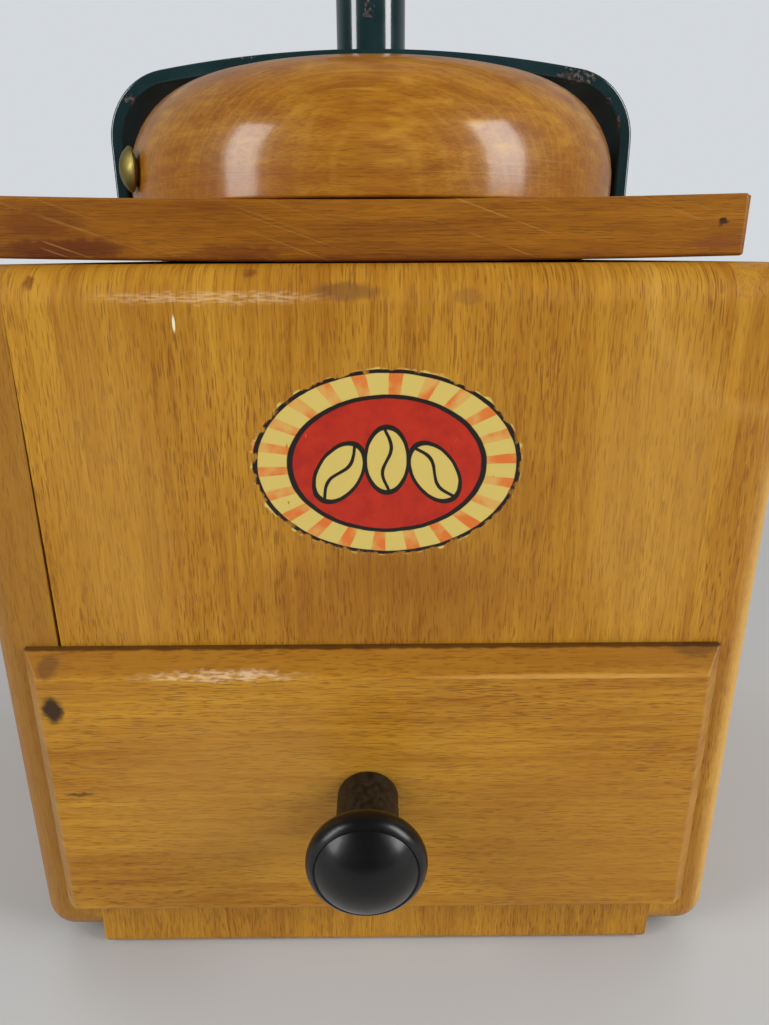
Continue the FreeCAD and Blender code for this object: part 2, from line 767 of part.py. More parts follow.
def crank_arm():
    """Flat bar bent in an S from the hub up to the grip, tapered in plan, with round ends."""
    slope = math.radians(CRANK_SLOPE)
    bend_run = CRANK_BEND * math.sin(slope)
    bend_rise = CRANK_BEND * (1 - math.cos(slope))
    ramp_run = (CRANK_RISE - 2 * bend_rise) / math.tan(slope)
    half = CRANK_THICKNESS / 2
    middle = CRANK_BASE + half
    low_bend = (CRANK_HUB_FLAT, middle + CRANK_BEND)
    high_bend = (
        CRANK_HUB_FLAT + 2 * bend_run + ramp_run,
        middle + CRANK_RISE - CRANK_BEND,
    )

    def low(angle, side):
        radius = CRANK_BEND - side * half
        return low_bend[0] + radius * math.sin(angle), low_bend[1] - radius * math.cos(angle)

    def high(angle, side):
        radius = CRANK_BEND + side * half
        return high_bend[0] - radius * math.sin(angle), high_bend[1] + radius * math.cos(angle)

    tail = -CRANK_HUB_R
    tip = CRANK_RADIUS + CRANK_END_R
    section = outline(
        (tail, CRANK_BASE),
        low(0.0, -1),
        (low(slope / 2, -1), low(slope, -1)),
        high(slope, -1),
        (high(slope / 2, -1), high(0.0, -1)),
        (tip, GRIP_ARM_TOP - CRANK_THICKNESS),
        (tip, GRIP_ARM_TOP),
        high(0.0, 1),
        (high(slope / 2, 1), high(slope, 1)),
        low(slope, 1),
        (low(slope / 2, 1), low(0.0, 1)),
        (tail, CRANK_TOP),
    )
    z = (CRANK_BASE - 1.0, GRIP_ARM_TOP + 1.0)
    wide, narrow = CRANK_HALF_WIDTHS
    corners = [(0.0, -wide), (CRANK_RADIUS, -narrow), (CRANK_RADIUS, narrow), (0.0, wide)]
    taper = prism([V(x, y, z[0]) for x, y in corners], z[1] - z[0])
    plan = taper.fuse([rod(CRANK_HUB_R, z), rod(CRANK_END_R, z, (CRANK_RADIUS, 0.0))]).removeSplitter()
    arm = slab(section, CRANK_HUB_R + 1.0).common(plan)
    return arm.cut([tang_hole(z), rod(GRIP_PIN_R + SLIP, z, (CRANK_RADIUS, 0.0))])


def crank_nut():
    """Domed hexagon nut on the shaft's stud."""
    z = (CRANK_TOP, CRANK_TOP + NUT_HEIGHT)
    hexagon = hex_bar(NUT_ACROSS_FLATS, z)
    cap_r = NUT_ACROSS_FLATS / 2 - 0.4
    crown = turned(outline((0.0, z[1]), (cap_r, z[1]), cap(cap_r, z[1], 3.8)))
    stud = rod(STUD_R + SLIP, (z[0], z[1] + 2.6))
    return hexagon.fuse(crown).removeSplitter().cut(stud)


def grip_pin():
    """Rivet that stands up from the crank's end, with the grip turning round it."""
    top = GRIP_ARM_TOP + GRIP_HEIGHT + 0.4
    head_r = GRIP_PIN_R + 2.2
    pin = rod(GRIP_PIN_R, (GRIP_ARM_TOP - CRANK_THICKNESS, top))
    head = turned(outline((0.0, top), (head_r, top), cap(head_r, top, 2.0)))
    pin = pin.fuse(head).removeSplitter()
    pin.translate(V(CRANK_RADIUS, 0, 0))
    return pin


def at_grip(shape):
    shape.translate(V(CRANK_RADIUS, 0, GRIP_ARM_TOP + 0.3))
    return shape


def grip_ferrule():
    bore = GRIP_PIN_R + 0.1
    return at_grip(rod(GRIP_FOOT_R, (0.0, FERRULE_HEIGHT)).cut(rod(bore, (0.0, FERRULE_HEIGHT))))


def crank_grip():
    """Turned pear-shaped grip, bored for the pin."""
    bore = GRIP_PIN_R + 0.1
    head = GRIP_HEIGHT - 14.5
    grip = turned(
        outline(
            (bore, FERRULE_HEIGHT),
            (GRIP_FOOT_R, FERRULE_HEIGHT),
            ((GRIP_WAIST_R + 0.2, FERRULE_HEIGHT + 6.0), (GRIP_WAIST_R + 1.6, FERRULE_HEIGHT + 12.0)),
            ((GRIP_HEAD_R - 1.6, head - 5.2), (GRIP_HEAD_R, head + 1.5)),
            ((GRIP_HEAD_R - 3.6, GRIP_HEIGHT - 3.6), (bore + 2.0, GRIP_HEIGHT)),
            (bore, GRIP_HEIGHT),
        )
    )
    return at_grip(grip)


# Drawer

def forward(shape, start):
    """A shape made along +Z, laid out to the front from y = start at the knob's height."""
    shape.rotate(V(0, 0, 0), V(1, 0, 0), 90)
    shape.translate(V(KNOB_OFFSET, start, KNOB_AXIS))
    return shape


def drawer_front():
    """Bevelled panel over the opening, with the thicker part that fits into it behind."""
    across = 2 * PANEL_HALF_WIDTH
    tall = PANEL_TOP - PANEL_BASE

    def ring(inset, y):
        corners = [
            (-PANEL_HALF_WIDTH + inset, PANEL_BASE + inset),
            (-PANEL_HALF_WIDTH + inset, PANEL_TOP - inset),
            (PANEL_HALF_WIDTH - inset, PANEL_TOP - inset),
            (PANEL_HALF_WIDTH - inset, PANEL_BASE + inset),
        ]
        points = [V(x, y, z) for x, z in corners]
        return Part.makePolygon([*points, points[0]])

    edge_y = PANEL_BACK - PANEL_EDGE
    panel = Part.makeBox(across, PANEL_EDGE, tall, V(-PANEL_HALF_WIDTH, edge_y, PANEL_BASE))
    bevel = Part.makeLoft([ring(0.0, edge_y), ring(PANEL_BEVEL, PANEL_FACE)], True, True)
    inner = block(
        (-DRAWER_OUTER, DRAWER_OUTER),
        (PANEL_BACK, DRAWER_BOX_FRONT),
        (DRAWER_FLOOR, OPENING_TOP - DRAWER_TOP_GAP),
    )
    front = panel.fuse([bevel, inner]).removeSplitter()
    groove = block(
        (-DRAWER_OUTER + GROOVE_DEPTH, DRAWER_OUTER - GROOVE_DEPTH),
        (DRAWER_BOX_FRONT - GROOVE_DEPTH, DRAWER_BOX_FRONT),
        DRAWER_BOTTOM_LEVELS,
    )
    hole = forward(rod(KNOB_SCREW_R + SLIP, (-DRAWER_INNER_FRONT, PANEL_THICKNESS + 1.0)), PANEL_BACK)
    return front.cut([groove, hole])


def drawer_side():
    side = block(
        (DRAWER_OUTER - DRAWER_BOARD, DRAWER_OUTER),
        (DRAWER_BOX_FRONT, DRAWER_BOX_BACK),
        (DRAWER_FLOOR, DRAWER_FLOOR + DRAWER_SIDE_HEIGHT),
    )
    groove = block(
        (DRAWER_OUTER - DRAWER_BOARD, DRAWER_OUTER - DRAWER_BOARD + GROOVE_DEPTH),
        (DRAWER_BOX_FRONT, DRAWER_BOX_BACK),
        DRAWER_BOTTOM_LEVELS,
    )
    return side.cut(groove)


def drawer_back():
    inner = DRAWER_OUTER - DRAWER_BOARD
    return block(
        (-inner, inner),
        (DRAWER_BOX_BACK - DRAWER_BOARD, DRAWER_BOX_BACK),
        (DRAWER_BOTTOM_LEVELS[1], DRAWER_FLOOR + DRAWER_SIDE_HEIGHT),
    )


def drawer_bottom():
    half = DRAWER_OUTER - DRAWER_BOARD + GROOVE_DEPTH
    return block((-half, half), (DRAWER_BOX_FRONT - GROOVE_DEPTH, DRAWER_BOX_BACK), DRAWER_BOTTOM_LEVELS)


def drawer_knob():
    """Turned black knob: a plain stem, a cap with a round rim, and a domed face inside a crease."""
    rim_back = KNOB_STEM + 0.8
    crease_r = KNOB_R - 1.7
    crease = rim_back + 5.0
    knob = turned(
        outline(
            (0.0, 0.0),
            (KNOB_STEM_R + 0.4, 0.0),
            (KNOB_STEM_R, 1.2),
            (KNOB_STEM_R, KNOB_STEM),
            (KNOB_R - 1.6, rim_back),
            ((KNOB_R, rim_back + 2.3), (crease_r + 0.4, crease)),
            (crease_r, crease),
            cap(crease_r, crease, KNOB_LENGTH - crease),
        )
    )
    knob = knob.cut(rod(KNOB_SCREW_R + SLIP, (-1.0, 9.5)))
    return forward(knob, PANEL_FACE)


def drawer_knob_screw():
    grip = DRAWER_INNER_FRONT + PANEL_THICKNESS + 8.0
    return forward(cheese_head(4.0, 2.4, KNOB_SCREW_R, grip), DRAWER_BOX_FRONT)


# Every piece, by the name of its file

def pieces():
    bridge_screw = cheese_head(3.4, 2.4, BRIDGE_BOLT_R, BRIDGE_THICKNESS + HOUSING_FLANGE + 1.0)
    bridge_places = [polar(BRIDGE_SCREW_R, angle) for angle in BRIDGE_ANGLES]
    right_side = side_board()
    drawer_right = drawer_side()
    yield "right_side_board", right_side
    yield "left_side_board", mirrored(right_side)
    yield "front_board", front_board()
    yield "back_board", back_board()
    yield "base_board", base_board()
    yield "deck_board", deck_board()
    yield "top_plate", top_plate()
    yield "bearing_bow", bearing_bow()
    yield "bearing_tower", bearing_tower()
    yield "bow_screws", Part.makeCompound(placed(countersunk(*BOW_SCREW), BOW_SCREW_PLACES, PLATE_TOP))
    yield "hopper_funnel", hopper_funnel()
    yield "hopper_screws", Part.makeCompound(
        placed(countersunk(*HOPPER_SCREW), HOPPER_SCREW_PLACES, FLANGE_TOP)
    )
    yield "fill_shutter", fill_shutter()
    yield "burr_housing", burr_housing()
    yield "housing_screws", Part.makeCompound(
        placed(countersunk(*HOUSING_SCREW), HOUSING_SCREW_PLACES, DECK_BASE - HOUSING_FLANGE, True)
    )
    yield "burr_ring", burr_ring()
    yield "bearing_bridge", bearing_bridge()
    yield "bridge_screws", Part.makeCompound(
        placed(bridge_screw, bridge_places, MILL_FLOOR - BRIDGE_THICKNESS)
    )
    yield "dome_lid", dome_lid()
    yield "lid_knob", lid_knob()
    yield "lid_knob_nut", lid_knob_nut()
    yield "shaft", shaft()
    yield "burr_cone", burr_cone()
    yield "burr_pin", cross_pin()
    yield "thrust_washer", thrust_washer()
    yield "adjusting_nut", adjusting_nut()
    yield "lock_spring", lock_spring()
    yield "crank_arm", crank_arm()
    yield "crank_nut", crank_nut()
    yield "grip_pin", grip_pin()
    yield "grip_ferrule", grip_ferrule()
    yield "crank_grip", crank_grip()
    yield "drawer_front", drawer_front()
    yield "drawer_right_side", drawer_right
    yield "drawer_left_side", mirrored(drawer_right)
    yield "drawer_back", drawer_back()
    yield "drawer_bottom", drawer_bottom()
    yield "drawer_knob", drawer_knob()
    yield "drawer_knob_screw", drawer_knob_screw()


def main():
    os.makedirs("parts", exist_ok=True)
    for name, shape in pieces():
        if not shape.isValid() or shape.Volume <= 0:
            raise ValueError(f"{name} is not a sound solid")
        shape.exportStep(f"parts/{name}.step")
        print(f"{name}: {len(shape.Solids)} solid, {shape.Volume / 1000:.2f} cm3")


main()
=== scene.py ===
"""Dresses the packed box coffee mill in amber beech, dark green enamel, brass and steel, on a pale stage.

The file is laid out as an add-on and is run as a script. Lengths in the mesh code are metres, sizes of
patterns are millimetres.
"""

import json
from math import atan2, cos, hypot, pi, radians, sin, sqrt, tau

import bmesh
import bpy
from mathutils import Matrix, Vector

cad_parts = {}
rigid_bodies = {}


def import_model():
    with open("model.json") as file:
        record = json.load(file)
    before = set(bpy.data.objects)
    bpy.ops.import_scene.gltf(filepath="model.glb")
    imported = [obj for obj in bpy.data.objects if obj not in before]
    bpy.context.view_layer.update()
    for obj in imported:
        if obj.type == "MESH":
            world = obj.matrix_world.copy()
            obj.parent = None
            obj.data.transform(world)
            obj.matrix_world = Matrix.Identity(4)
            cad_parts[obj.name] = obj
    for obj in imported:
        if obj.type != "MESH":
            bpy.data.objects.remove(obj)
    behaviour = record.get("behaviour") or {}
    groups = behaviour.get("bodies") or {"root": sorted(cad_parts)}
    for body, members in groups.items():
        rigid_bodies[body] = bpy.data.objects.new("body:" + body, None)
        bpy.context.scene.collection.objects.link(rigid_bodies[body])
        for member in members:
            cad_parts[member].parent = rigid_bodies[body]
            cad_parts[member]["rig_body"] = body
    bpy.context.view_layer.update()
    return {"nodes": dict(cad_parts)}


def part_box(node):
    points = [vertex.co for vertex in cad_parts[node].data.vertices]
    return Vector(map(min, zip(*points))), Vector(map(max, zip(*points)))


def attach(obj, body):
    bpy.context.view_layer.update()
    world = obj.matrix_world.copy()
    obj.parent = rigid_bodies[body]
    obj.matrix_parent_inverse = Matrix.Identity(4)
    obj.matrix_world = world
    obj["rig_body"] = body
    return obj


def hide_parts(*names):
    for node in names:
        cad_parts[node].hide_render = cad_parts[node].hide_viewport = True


# The factory scene's own objects would be counted with the frame.
for leftover in list(bpy.data.objects):
    bpy.data.objects.remove(leftover)

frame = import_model()
NODES = frame["nodes"]
MM = 0.001

bl_info = {
    "name": "Box coffee mill",
    "version": (1, 0, 0),
    "blender": (4, 5, 0),
    "location": "3D View > Sidebar > Mill",
    "description": "Builds the looks of a box coffee mill around its packed solids",
    "category": "Object",
}


# Settings

def srgb(*levels):
    """Linear colour of three display levels from 0 to 255."""
    shares = [level / 255 for level in levels]
    return tuple(s / 12.92 if s < 0.04045 else ((s + 0.055) / 1.055) ** 2.4 for s in shares)


def length(name, description, millimetres):
    return bpy.props.FloatProperty(
        name=name, description=description, default=millimetres * MM, unit="LENGTH", precision=5
    )


def angle(name, description, degrees):
    return bpy.props.FloatProperty(
        name=name, description=description, default=radians(degrees), subtype="ANGLE"
    )


def amount(name, description, value):
    return bpy.props.FloatProperty(name=name, description=description, default=value, min=0.0)


def colour(name, description, *levels):
    return bpy.props.FloatVectorProperty(
        name=name, description=description, default=srgb(*levels), subtype="COLOR", min=0.0, max=1.0
    )


class CaseSizes(bpy.types.PropertyGroup):
    """Wooden case, top plate and drawer."""

    board_ease: length("Board ease", "Rounding of the boards' arrises at the joints", 0.06)
    seam_gap: length("Seam gap", "Width at the foot of the open joint left of the front board", 0.65)
    plate_ease: length("Plate ease", "Rounding of the top plate's edges", 0.5)
    panel_ease: length("Panel ease", "Rounding of the drawer panel's bevel edges", 0.4)
    emblem_width: length("Emblem width", "Width of the oval transfer on the front", 43.0)
    emblem_height: length("Emblem height", "Height of the oval transfer on the front", 30.5)


class LidSizes(bpy.types.PropertyGroup):
    """Turned dome and its brass knob."""

    shoulder: length("Shoulder", "Radius of the dome's round shoulder", 18.0)
    crown: length("Crown", "Radius of the dome's shallow top", 160.0)
    wall: length("Wall", "Thickness of the dome's wall", 6.5)
    eye: length("Eye", "Radius of the hole for the shaft", 6.0)
    window_start: angle("Window start", "Where the fill window begins, from the crank's side", 66.0)
    window_angle: angle("Window angle", "How far round the fill window reaches", 90.0)
    window_sill: length("Window sill", "Height of the window's lower edge over the rim", 5.0)
    window_inner: length("Window top", "Radius at which the window ends on the crown", 17.0)
    window_ease: length("Window ease", "Rounding of the window's edges", 0.7)
    knob_angle: angle("Knob angle", "Where the brass knob sits, from the crank's side", 208.0)
    knob_height: length("Knob height", "Height of the brass knob's axis over the table", 143.5)
    knob_radius: length("Knob radius", "Radius of the brass knob's head", 4.0)


class MetalSizes(bpy.types.PropertyGroup):
    """Bow, bearing tower, crank and knobs."""

    strap: length("Strap", "Thickness of the bow's strap", 2.6)
    strap_width: length("Strap width", "Width of the bow's strap", 16.0)
    strap_ease: length("Strap ease", "Rounding of the strap's edges", 0.55)
    corner: length("Corner", "Radius of the bow's shoulders", 13.5)
    bow_crown: length("Bow crown", "Radius of the bow's flat top", 250.0)
    tower_radius: length("Tower radius", "Radius of the bearing tower", 7.0)
    crank_ease: length("Crank ease", "Rounding of the crank arm's edges", 0.9)
    knob_radius: length("Drawer knob radius", "Radius of the drawer knob's rim", 9.4)
    knob_stem: length("Drawer knob stem", "Radius of the drawer knob's stem", 5.2)


class Finishes(bpy.types.PropertyGroup):
    """Colours of woods, paints and metals."""

    amber_pale: colour("Pale amber", "Light bands of the varnished case", 190, 138, 38)
    amber_deep: colour("Deep amber", "Dark bands of the varnished case", 153, 97, 16)
    amber_fleck: colour("Fleck", "Short dark flecks in the beech", 100, 54, 10)
    plate_pale: colour("Pale plate", "Light bands of the top plate", 156, 99, 14)
    plate_deep: colour("Deep plate", "Dark bands of the top plate", 117, 64, 6)
    dome_pale: colour("Pale dome", "Light bands of the turned dome", 174, 117, 22)
    dome_deep: colour("Deep dome", "Dark bands of the turned dome", 140, 82, 8)
    bare_pale: colour("Pale bare beech", "Light bands of the unvarnished boards", 205, 172, 124)
    bare_deep: colour("Deep bare beech", "Dark bands of the unvarnished boards", 178, 140, 90)
    stain: colour("Stain", "Old brown stains in the wood", 84, 47, 20)
    enamel: colour("Enamel", "Dark green enamel of the bow and the crank", 14, 40, 42)
    enamel_worn: colour("Worn enamel", "Duller places of the green enamel", 24, 50, 54)
    chip: colour("Chip", "Rusty iron under chipped enamel", 52, 40, 35)
    black: colour("Black", "Lacquer of the drawer knob", 9, 9, 9)
    dust: colour("Dust", "Brown dust on the knob's stem", 46, 38, 26)
    brass: colour("Brass", "Brass of the knob and the ferrule", 176, 156, 88)
    tarnish: colour("Tarnish", "Olive tarnish on the brass", 116, 106, 56)
    steel: colour("Steel", "Bright steel", 186, 186, 184)
    tin: colour("Tinned sheet", "Tinned sheet of the hopper", 196, 196, 192)
    iron: colour("Cast iron", "Cast iron of the mill body", 72, 69, 66)
    emblem_red: colour("Emblem red", "Field of the oval transfer", 180, 42, 16)
    emblem_cream: colour("Emblem cream", "Band and beans of the transfer", 205, 181, 96)
    emblem_orange: colour("Emblem orange", "Rays of the transfer", 211, 104, 36)


class StageSettings(bpy.types.PropertyGroup):
    """Camera, lights and floor."""

    lens: bpy.props.FloatProperty(
        name="Lens", description="Focal length on a 36 mm sensor", default=26.07, min=1.0, unit="CAMERA"
    )
    eye: bpy.props.FloatVectorProperty(
        name="Eye",
        description="Where the camera stands",
        default=(1.304 * MM, -176.0 * MM, 127.865 * MM),
        subtype="TRANSLATION",
        unit="LENGTH",
        precision=5,
    )
    pitch: angle("Pitch", "How far the camera looks down", 18.99)
    yaw: angle("Yaw", "How far the camera turns to the left", -0.358)
    roll: angle("Roll", "How far the camera leans", -0.23)
    window_light: amount("Window light", "Power of a side light in watts, before its share", 5.65)
    ambient: amount("Ambient", "Strength of the light from all round", 0.31)
    floor: colour("Floor", "Pale table top", 192, 193, 193)
    room: colour("Room", "Dim room in front of the mill, as its gloss shows it", 84, 86, 88)
    wall: colour("Wall", "Pale background", 212, 216, 220)


SETTINGS = {
    "mill_case": CaseSizes,
    "mill_lid": LidSizes,
    "mill_metal": MetalSizes,
    "mill_finishes": Finishes,
    "mill_stage": StageSettings,
}


# Shader sums

def sums(operation):
    """An operator of Shade and its reflected form."""

    def plain(self, other):
        return self.math(operation, self, other)

    def reflected(self, other):
        return self.math(operation, other, self)

    return plain, reflected


class Shade:
    """One socket of a shader tree. Sums on it add Math nodes, and node() adds any other node."""

    def __init__(self, tree, socket=None):
        self.tree = tree
        self.socket = socket

    def node(self, kind, settings, sockets, output=0):
        """Adds a node: its settings first, then the values or links of its sockets."""
        node = self.tree.nodes.new("ShaderNode" + kind)
        for name, value in settings.items():
            setattr(node, name, value)
        for key, value in sockets.items():
            if isinstance(value, Shade):
                self.tree.links.new(value.socket, node.inputs[key])
            else:
                node.inputs[key].default_value = value
        return Shade(self.tree, node.outputs[output] if node.outputs else None)

    def math(self, operation, first, second=0.0):
        return self.node("Math", {"operation": operation}, {0: first, 1: second})

    __add__, __radd__ = sums("ADD")
    __sub__, __rsub__ = sums("SUBTRACT")
    __mul__, __rmul__ = sums("MULTIPLY")
    __truediv__, __rtruediv__ = sums("DIVIDE")
    __pow__, __rpow__ = sums("POWER")
    __or__, __ror__ = sums("MAXIMUM")  # the larger of two masks

    def __abs__(self):
        return self.math("ABSOLUTE", self)

    def vector(self, operation, other=0.0, output=0):
        """A sum of vectors, where a plain number stands for all three axes."""
        other = (other,) * 3 if isinstance(other, float) else other
        return self.node("VectorMath", {"operation": operation}, {0: self, 1: other}, output)

    def reach(self):
        return self.vector("LENGTH", output=1)

    def sine(self):
        return self.math("SINE", self)

    def axis(self, index):
        return self.node("SeparateXYZ", {}, {0: self}, index)

    def joined(self, x, y, z):
        return self.node("CombineXYZ", {}, {0: x, 1: y, 2: z})

    def turned(self, x=0.0, y=0.0, z=0.0):
        turn = tuple(radians(degrees) for degrees in (x, y, z))
        return self.node("Mapping", {"vector_type": "POINT"}, {"Vector": self, "Rotation": turn})

    def mask(self, low, high):
        """0 up to low and 1 from high on, or the other way where low is the larger."""
        return self.node(
            "MapRange", {"interpolation_type": "SMOOTHSTEP"}, {0: self, 1: low, 2: high, 3: 0.0, 4: 1.0}
        )

    def mix(self, low, high):
        """A colour that goes from low to high as this value goes from 0 to 1."""
        return self.node("Mix", {"data_type": "RGBA"}, {0: self, 6: solid(low), 7: solid(high)}, 2)

    def noise(self, sizes, detail=2.0, seed=0.0, output=0):
        """Cloudy noise whose clouds have this size, or these along the three axes, in millimetres."""
        return self.node(
            "TexNoise",
            {"noise_dimensions": "4D"},
            {"Vector": self.vector("DIVIDE", sizes), "W": seed, "Scale": 1.0, "Detail": detail},
            output,
        )

    def cells(self, sizes, output=0):
        """Distance from the middles of scattered cells, or with output 1 a colour for each cell."""
        return self.node("TexVoronoi", {}, {"Vector": self.vector("DIVIDE", sizes), "Scale": 1.0}, output)

    def warped(self, size, amount):
        """The place, shifted about by up to half the amount, for ragged outlines."""
        shift = self.noise(size, 2.0, 3.3, 1).vector("SUBTRACT", 0.5)
        return shift.vector("MULTIPLY", amount).vector("ADD", self)

    def spot(self, centre, radii):
        """1 in the middle of a soft spot and 0 outside it."""
        away = self.vector("SUBTRACT", centre).vector("DIVIDE", radii)
        return away.reach().mask(1.0, 0.45)

    def bump(self, depth):
        """The shader's normal for this relief, which is depth millimetres high."""
        return self.node("Bump", {}, {"Height": self, "Distance": depth * MM, "Strength": 1.0})


def solid(value):
    """A colour as a socket takes it."""
    if isinstance(value, Shade) or len(value) == 4:
        return value
    return (*value, 1.0)


def blank_tree(owner):
    """The emptied shader tree of a material or a world, to start from."""
    owner.use_nodes = True
    owner.node_tree.nodes.clear()
    return Shade(owner.node_tree)


def finish(name, paint, *details):
    """The material of this name. It is painted once: paint gives the values of the shader's sockets."""
    material = bpy.data.materials.get(name)
    if material:
        return material
    material = bpy.data.materials.new(name)
    start = blank_tree(material)
    place = start.node("TexCoord", {}, {}, "Object").vector("DIVIDE", MM)
    shader = start.node("BsdfPrincipled", {}, paint(place, *details))
    start.node("OutputMaterial", {}, {"Surface": shader})
    return material


def finishes():
    return bpy.context.scene.mill_finishes


# Woods

X, Y, Z = 0, 1, 2


def along(axis, across, length_on, through=None):
    """Sizes of a pattern that is stretched along the grain, and if wanted runs right through a board."""
    sizes = [across] * 3
    sizes[axis] = length_on
    if through is not None:
        sizes[through] = 40.0
    return sizes


def beech(place, axis, wood, seed, strength=0.6, through=None, fleck="amber_fleck"):
    """Colour and relief of planed beech: drifting bands, fine fibres and short dark flecks."""
    tint = finishes()
    bands = place.noise(along(axis, 10.0, 60.0), 3.0, seed).mask(0.3, 0.7)
    streaks = place.noise(along(axis, 1.2, 26.0, through), 2.0, seed + 3.1).mask(0.28, 0.72)
    fibres = place.noise(along(axis, 0.22, 7.0, through), 1.0, seed + 7.7)
    crowd = place.noise(along(axis, 7.0, 22.0), 2.0, seed + 1.7).mask(0.25, 0.7)
    flecks = place.noise(along(axis, 0.16, 2.2, through), 0.0, seed + 9.3).mask(0.58, 0.68)
    tone = bands * 0.5 + streaks * 0.4 + fibres * 1.1 - 0.5
    shade = tone.mix(getattr(tint, wood + "_deep"), getattr(tint, wood + "_pale"))
    shade = (flecks * (crowd * 0.6 + 0.4) * strength).mix(shade, getattr(tint, fleck))
    return shade, fibres * 0.5 - flecks


def marked(place, shade, marks):
    """The colour with a list of marks, stains and some painted shade and light: middle, radii, colour and
    strength of each.
    """
    ragged = place.warped(1.4, 1.6)
    for centre, radii, stain, strength in marks:
        shade = (ragged.spot(centre, radii) * strength).mix(shade, stain)
    return shade


def painted_glint(place, shade, centre, radii, strength):
    """The colour with a painted highlight, in short broken strokes across the mill."""
    strokes = place.noise((1.8, 6.0, 0.3), 2.0, 8.0).mask(0.36, 0.66)
    glint = place.warped(1.4, 1.6).spot(centre, radii) * strokes
    return (glint * strength).mix(shade, srgb(240, 216, 180))


def varnished(shade, relief, roughness, coat, coat_roughness):
    """Shader values of wood under old varnish."""
    return {
        "Base Color": shade,
        "Roughness": roughness,
        "Normal": relief.bump(0.03),
        "Specular IOR Level": 0.2,
        "Coat Weight": coat,
        "Coat Roughness": coat_roughness,
    }


# Painted marks of the wood, in millimetres: middle, radii, and for the listed marks colour and strength.
# The glints and the drawer's edge line are painted highlights.
FRONT_GLINT = ((-23.0, -65, 122.4), (20.0, 6, 1.2))
DRAWER_GLINT = ((-25.0, -70, 63.3), (17.0, 6, 0.95))
# A painted highlight along the lower edge of the drawer's top bevel.
DRAWER_EDGE_HIGHLIGHT = ((32.0, -70.0, 63.0), (30.0, 6.0, 0.45))
TICK = ((-28.5, -65.0, 118.8), (0.28, 6.0, 1.5))
RING_MIDDLE, RING_RADII = (60.5, -65.0, 127.0), (20.0, 90.0, 21.5)

FRONT_STAINS_AND_SHADING = [
    ((-17.4, -65, 125.8), (1.5, 6, 0.9), srgb(118, 62, 14), 0.75),
    ((-49.2, -65, 124.6), (1.1, 6, 1.1), srgb(118, 62, 14), 0.75),
    ((-3.5, -65, 123.2), (6.5, 6, 1.7), srgb(103, 62, 34), 0.6),
    ((14.0, -65, 122.5), (3.0, 6, 1.5), srgb(110, 68, 34), 0.35),
    # The next two marks darken the lower middle of the front as painted shade; the last two lighten its
    # sides as painted light.
    ((9.0, -65, 88.0), (26.0, 6, 20.0), srgb(124, 70, 14), 0.32),
    ((3.0, -65, 74.0), (34.0, 6, 12.0), srgb(126, 68, 8), 0.4),
    ((-40.0, -65, 90.0), (12.0, 6, 40.0), srgb(190, 142, 58), 0.3),
    ((44.0, -65, 94.0), (14.0, 6, 34.0), srgb(187, 140, 60), 0.35),
]

# Painted shade down the front of the left side board.
LEFT_PAINTED_SHADE = [((-61.0, -65, 70.0), (14.0, 34, 130.0), srgb(138, 90, 26), 0.65)]

# Painted light on the rounded front edge of the right side board.
RIGHT_PAINTED_LIGHT = [((66.0, -65, 50.0), (6.0, 20, 130.0), srgb(226, 178, 86), 0.6)]


def case_wood(place, seed, marks, through=None):
    """Colour and relief of the case boards: upright grain, a ring in it, marks, a painted highlight and a
    tick.
    """
    shade, relief = beech(place, Z, "amber", seed, 0.6, through)
    ring = place.warped(6.0, 2.0).vector("SUBTRACT", RING_MIDDLE).vector("DIVIDE", RING_RADII)
    figure = abs(ring.reach() - 1.0).mask(0.11, 0.0)
    shade = (figure * 0.18).mix(shade, srgb(214, 166, 84))
    # Painted highlight along the front's top rounding.
    shade = painted_glint(place, marked(place, shade, marks), *FRONT_GLINT, 0.3)
    return place.spot(*TICK).mix(shade, srgb(238, 228, 190)), relief


def case_paint(place, seed, marks, through=None):
    shade, relief = case_wood(place, seed, marks, through)
    dull = place.noise(16.0, 2.0, seed + 2.0)
    return varnished(shade, relief, dull * 0.2 + 0.36, 0.2, 0.14)


DRAWER_STAINS_AND_SHADING = [
    # Painted shade on the panel's top bevel.
    ((0.0, -67, 65.0), (140.0, 6, 3.8), srgb(134, 84, 14), 0.6),
    ((-53.4, -68, 64.3), (2.4, 6, 1.8), srgb(104, 66, 28), 0.7),
    ((-52.9, -70, 57.4), (2.3, 6, 3.3), srgb(40, 22, 12), 0.95),
    ((-50.7, -70, 40.6), (3.4, 6, 0.5), srgb(84, 50, 22), 0.8),
    ((54.0, -67, 65.9), (5.0, 6, 1.3), srgb(82, 54, 12), 0.5),
    # Painted sheen on the left bevel.
    ((-57.0, -67, 38.0), (2.4, 6, 30.0), srgb(150, 118, 84), 0.55),
    ((-20.0, -70, 40.0), (34.0, 6, 24.0), srgb(182, 132, 56), 0.35),
    ((36.0, -70, 30.0), (30.0, 6, 22.0), srgb(156, 100, 30), 0.4),
]


